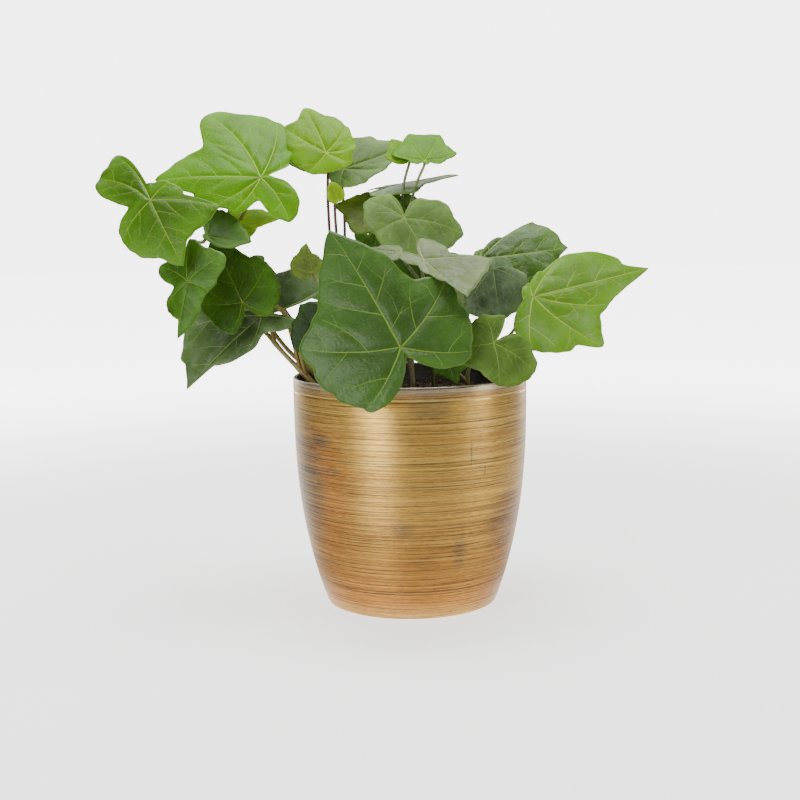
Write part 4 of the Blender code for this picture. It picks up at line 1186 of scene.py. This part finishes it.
def makeSoil(phases):
    plan = soilPlan
    rim = potRadius(soilTop) - potPlan["wall"] - plan["gap"]
    section = [(rim * index / plan["rings"], 0.0, soilTop) for index in range(plan["rings"] + 1)]
    for height in plan["sections"]:
        section.append((potRadius(height) - potPlan["wall"] - 2 * plan["gap"], 0.0, height))
    bottom = potPlan["floor"] + plan["gap"]
    section += [(section[-1][0] - 0.003, 0.0, bottom), (0.0, 0.0, bottom)]
    bm = spunPart(section, plan["steps"], potPlan["merge"])
    for vert in bm.verts:
        if abs(vert.co.z - soilTop) < 0.00001:
            vert.co.z = soilHeight(vert.co.x, vert.co.y, phases)
    made = newPiece("soil_ball", smoothed(bm), [makeSoilMaterial()])
    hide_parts("soil")


def makeCrumbs(phases):
    draw = random.Random(soilPlan["seed"])
    bm = bmesh.new()
    reachOut = potRadius(soilTop) - potPlan["wall"] - 0.004
    for number in range(soilPlan["crumbs"]):
        turned = draw.uniform(0, 2 * math.pi)
        radius = reachOut * math.sqrt(draw.random())
        x, y = radius * math.cos(turned), radius * math.sin(turned)
        pale = draw.random() < soilPlan["paleShare"]
        size = draw.uniform(*soilPlan["crumbSize"]) * (1.0 if pale else draw.choice((1.0, 1.0, 1.6)))
        ball = bmesh.ops.create_icosphere(bm, subdivisions=1, radius=size)["verts"]
        flat = draw.uniform(0.5, 0.9)
        spin = Matrix.Rotation(draw.uniform(0, math.pi), 3, "Z")
        spin = spin @ Matrix.Rotation(draw.uniform(-0.5, 0.5), 3, "X")
        for vert in ball:
            vert.co *= draw.uniform(0.75, 1.25)
            vert.co.z *= flat
        bmesh.ops.rotate(bm, verts=ball, cent=(0, 0, 0), matrix=spin)
        bmesh.ops.translate(bm, verts=ball, vec=(x, y, soilHeight(x, y, phases) + size * 0.15))
        for face in {face for vert in ball for face in vert.link_faces}:
            face.material_index = 1 if pale else 0
            face.smooth = True
    peat = makeCrumbMaterial("peatCrumb", rgb(34, 24, 18), rgb(92, 68, 46), 900.0)
    grit = makeCrumbMaterial("paleGrit", rgb(150, 142, 128), rgb(206, 200, 188), 1200.0)
    return newPiece("soil_crumbs", bm, [peat, grit])


soilDraw = random.Random(soilPlan["seed"])
soilPhases = [(soilDraw.uniform(0, 3.14), soilDraw.uniform(0, 6.28)) for _ in range(7)]
makeSoil(soilPhases)
makeCrumbs(soilPhases)
print("soil filled")


# Floor, light and camera
stagePlan = dict(floorSize=6.0, floor=rgb(240, 239, 237), backdrop=5.0, near=1.5, fill=0.24, fadeFrom=0.35,
                 fadeTo=1.3, sheen=1.1, sheenFrom=0.060, sheenTo=0.088)


def seenDirectly(tree, seen, otherwise):  # one strength where the camera looks at it, one for its light
    return rangeOf(nodeOf(tree, "ShaderNodeLightPath", pick="Is Camera Ray"), 0.0, 1.0, otherwise, seen)


def makeFloor():
    plan = stagePlan
    bm = bmesh.new()
    bmesh.ops.create_circle(bm, cap_ends=True, segments=96, radius=plan["floorSize"])
    bmesh.ops.translate(bm, verts=bm.verts, vec=(0, 0, -0.0002))
    made, tree, shader = newMaterial("floorPaint", 0.75)
    place = placeOf(tree)
    paint(shader, mixOf(noiseOf(place, 60.0, 3.0), plan["floor"], rgb(246, 245, 243)))
    away = nodeOf(tree, "ShaderNodeVectorMath", [place], "Value", operation="LENGTH")
    glow = rangeOf(away, plan["fadeFrom"], plan["fadeTo"], plan["near"], plan["backdrop"])
    sheen = rangeOf(away, plan["sheenFrom"], plan["sheenTo"], plan["sheen"], 0.0)
    inGloss = nodeOf(tree, "ShaderNodeLightPath", pick="Is Glossy Ray")  # what only reflections see
    feed(shader.inputs["Emission Strength"], glow * seenDirectly(tree, 1.0, 0.0) + inGloss * sheen)
    shader.inputs["Emission Color"].default_value = (1.0, 1.0, 1.0, 1.0)
    floor = meshObject("studioFloor", bm, [made])


# Soft lights: where each stands (degrees to the camera's right, distance, height), its width and
# height, its power, and whether it lights more than reflections
lightPlan = {
    "keySoft": (-40, 1.25, 0.62, 0.62, 0.9, 8.0, True),
    "rightSoft": (68, 1.25, 0.60, 0.62, 0.9, 6.5, True),
    "topSoft": (180, 0.28, 1.50, 0.75, 0.75, 22.0, True),
    "backSoft": (200, 1.25, 0.95, 1.0, 0.8, 7.0, True),
    "leftStrip": (-28, 1.2, 0.46, 0.50, 0.74, 10.0, False),
    "rightStrip": (78, 1.2, 0.55, 0.25, 0.6, 1.8, False),
    "backStrip": (146, 1.2, 0.46, 0.40, 0.74, 7.0, False),
    "sideStrip": (-148, 1.2, 0.46, 0.40, 0.74, 7.0, False),
}
# Dark cards that only the metal sees
cardPlan = [dict(name="leftCard", swing=-106, out=0.9, wide=0.42, tall=1.6)]


def makeLights():
    for name, (swing, out, height, wide, tall, power, lights) in lightPlan.items():
        light = bpy.data.lights.new(name, "AREA")
        light.shape = "RECTANGLE"
        light.size = wide
        light.size_y = tall
        light.energy = power
        made = bpy.data.objects.new(name, light)
        turned = math.radians(swing)
        place = Vector((math.sin(turned) * out, -math.cos(turned) * out, height))
        made.location = place
        made.rotation_euler = (Vector((0.0, 0.0, 0.12)) - place).to_track_quat("-Z", "Y").to_euler()
        made.visible_camera = False
        made.visible_diffuse = lights
        bpy.context.scene.collection.objects.link(made)
    world = bpy.data.worlds.new("studioWorld")
    world.use_nodes = True
    back = world.node_tree.nodes["Background"]
    back.inputs["Color"].default_value = (1.0, 1.0, 1.0, 1.0)
    feed(back.inputs["Strength"],
         seenDirectly(world.node_tree, stagePlan["backdrop"], stagePlan["fill"]))
    bpy.context.scene.world = world


def makeCards():
    for plan in cardPlan:
        bm = bmesh.new()
        turned = math.radians(plan["swing"])
        middle = Vector((math.sin(turned), -math.cos(turned), 0.0)) * plan["out"]
        across = Vector((math.cos(turned), math.sin(turned), 0.0)) * plan["wide"] / 2
        corners = [(-1, 0.01), (1, 0.01), (1, plan["tall"]), (-1, plan["tall"])]
        bm.faces.new([bm.verts.new(middle + across * side + Vector((0.0, 0.0, height)))
                      for side, height in corners])
        made, tree, shader = newMaterial(plan["name"] + "Paint", 1.0)
        paint(shader, mixOf(noiseOf(placeOf(tree), 40.0), rgb(14, 13, 12), rgb(20, 18, 17)))
        card = meshObject(plan["name"], bm, [made])
        card.visible_camera = False
        card.visible_diffuse = False
        card.visible_shadow = False


cameraPlan = dict(place=(0.0073, -0.8130, 0.2279), lens=61.15, down=7.468, swing=-0.937, tilt=-0.741)


def makeCamera():
    plan = cameraPlan
    down, swing, tilt = (math.radians(plan[key]) for key in ("down", "swing", "tilt"))
    ahead = Vector((math.sin(swing) * math.cos(down), math.cos(swing) * math.cos(down), -math.sin(down)))
    level = Vector((math.cos(swing), -math.sin(swing), 0.0))
    upright = level.cross(ahead)
    right = level * math.cos(tilt) + upright * math.sin(tilt)
    above = upright * math.cos(tilt) - level * math.sin(tilt)
    turn = Matrix((right, above, -ahead)).transposed().to_4x4()
    lens = bpy.data.cameras.new("photoCamera")
    lens.lens = plan["lens"]
    lens.sensor_width = 36.0
    lens.sensor_fit = "HORIZONTAL"
    lens.clip_start = 0.02
    camera = bpy.data.objects.new("photoCamera", lens)
    camera.matrix_world = Matrix.Translation(plan["place"]) @ turn
    bpy.context.scene.collection.objects.link(camera)
    bpy.context.scene.camera = camera


makeFloor()
makeLights()
makeCards()
makeCamera()
print("stage set")
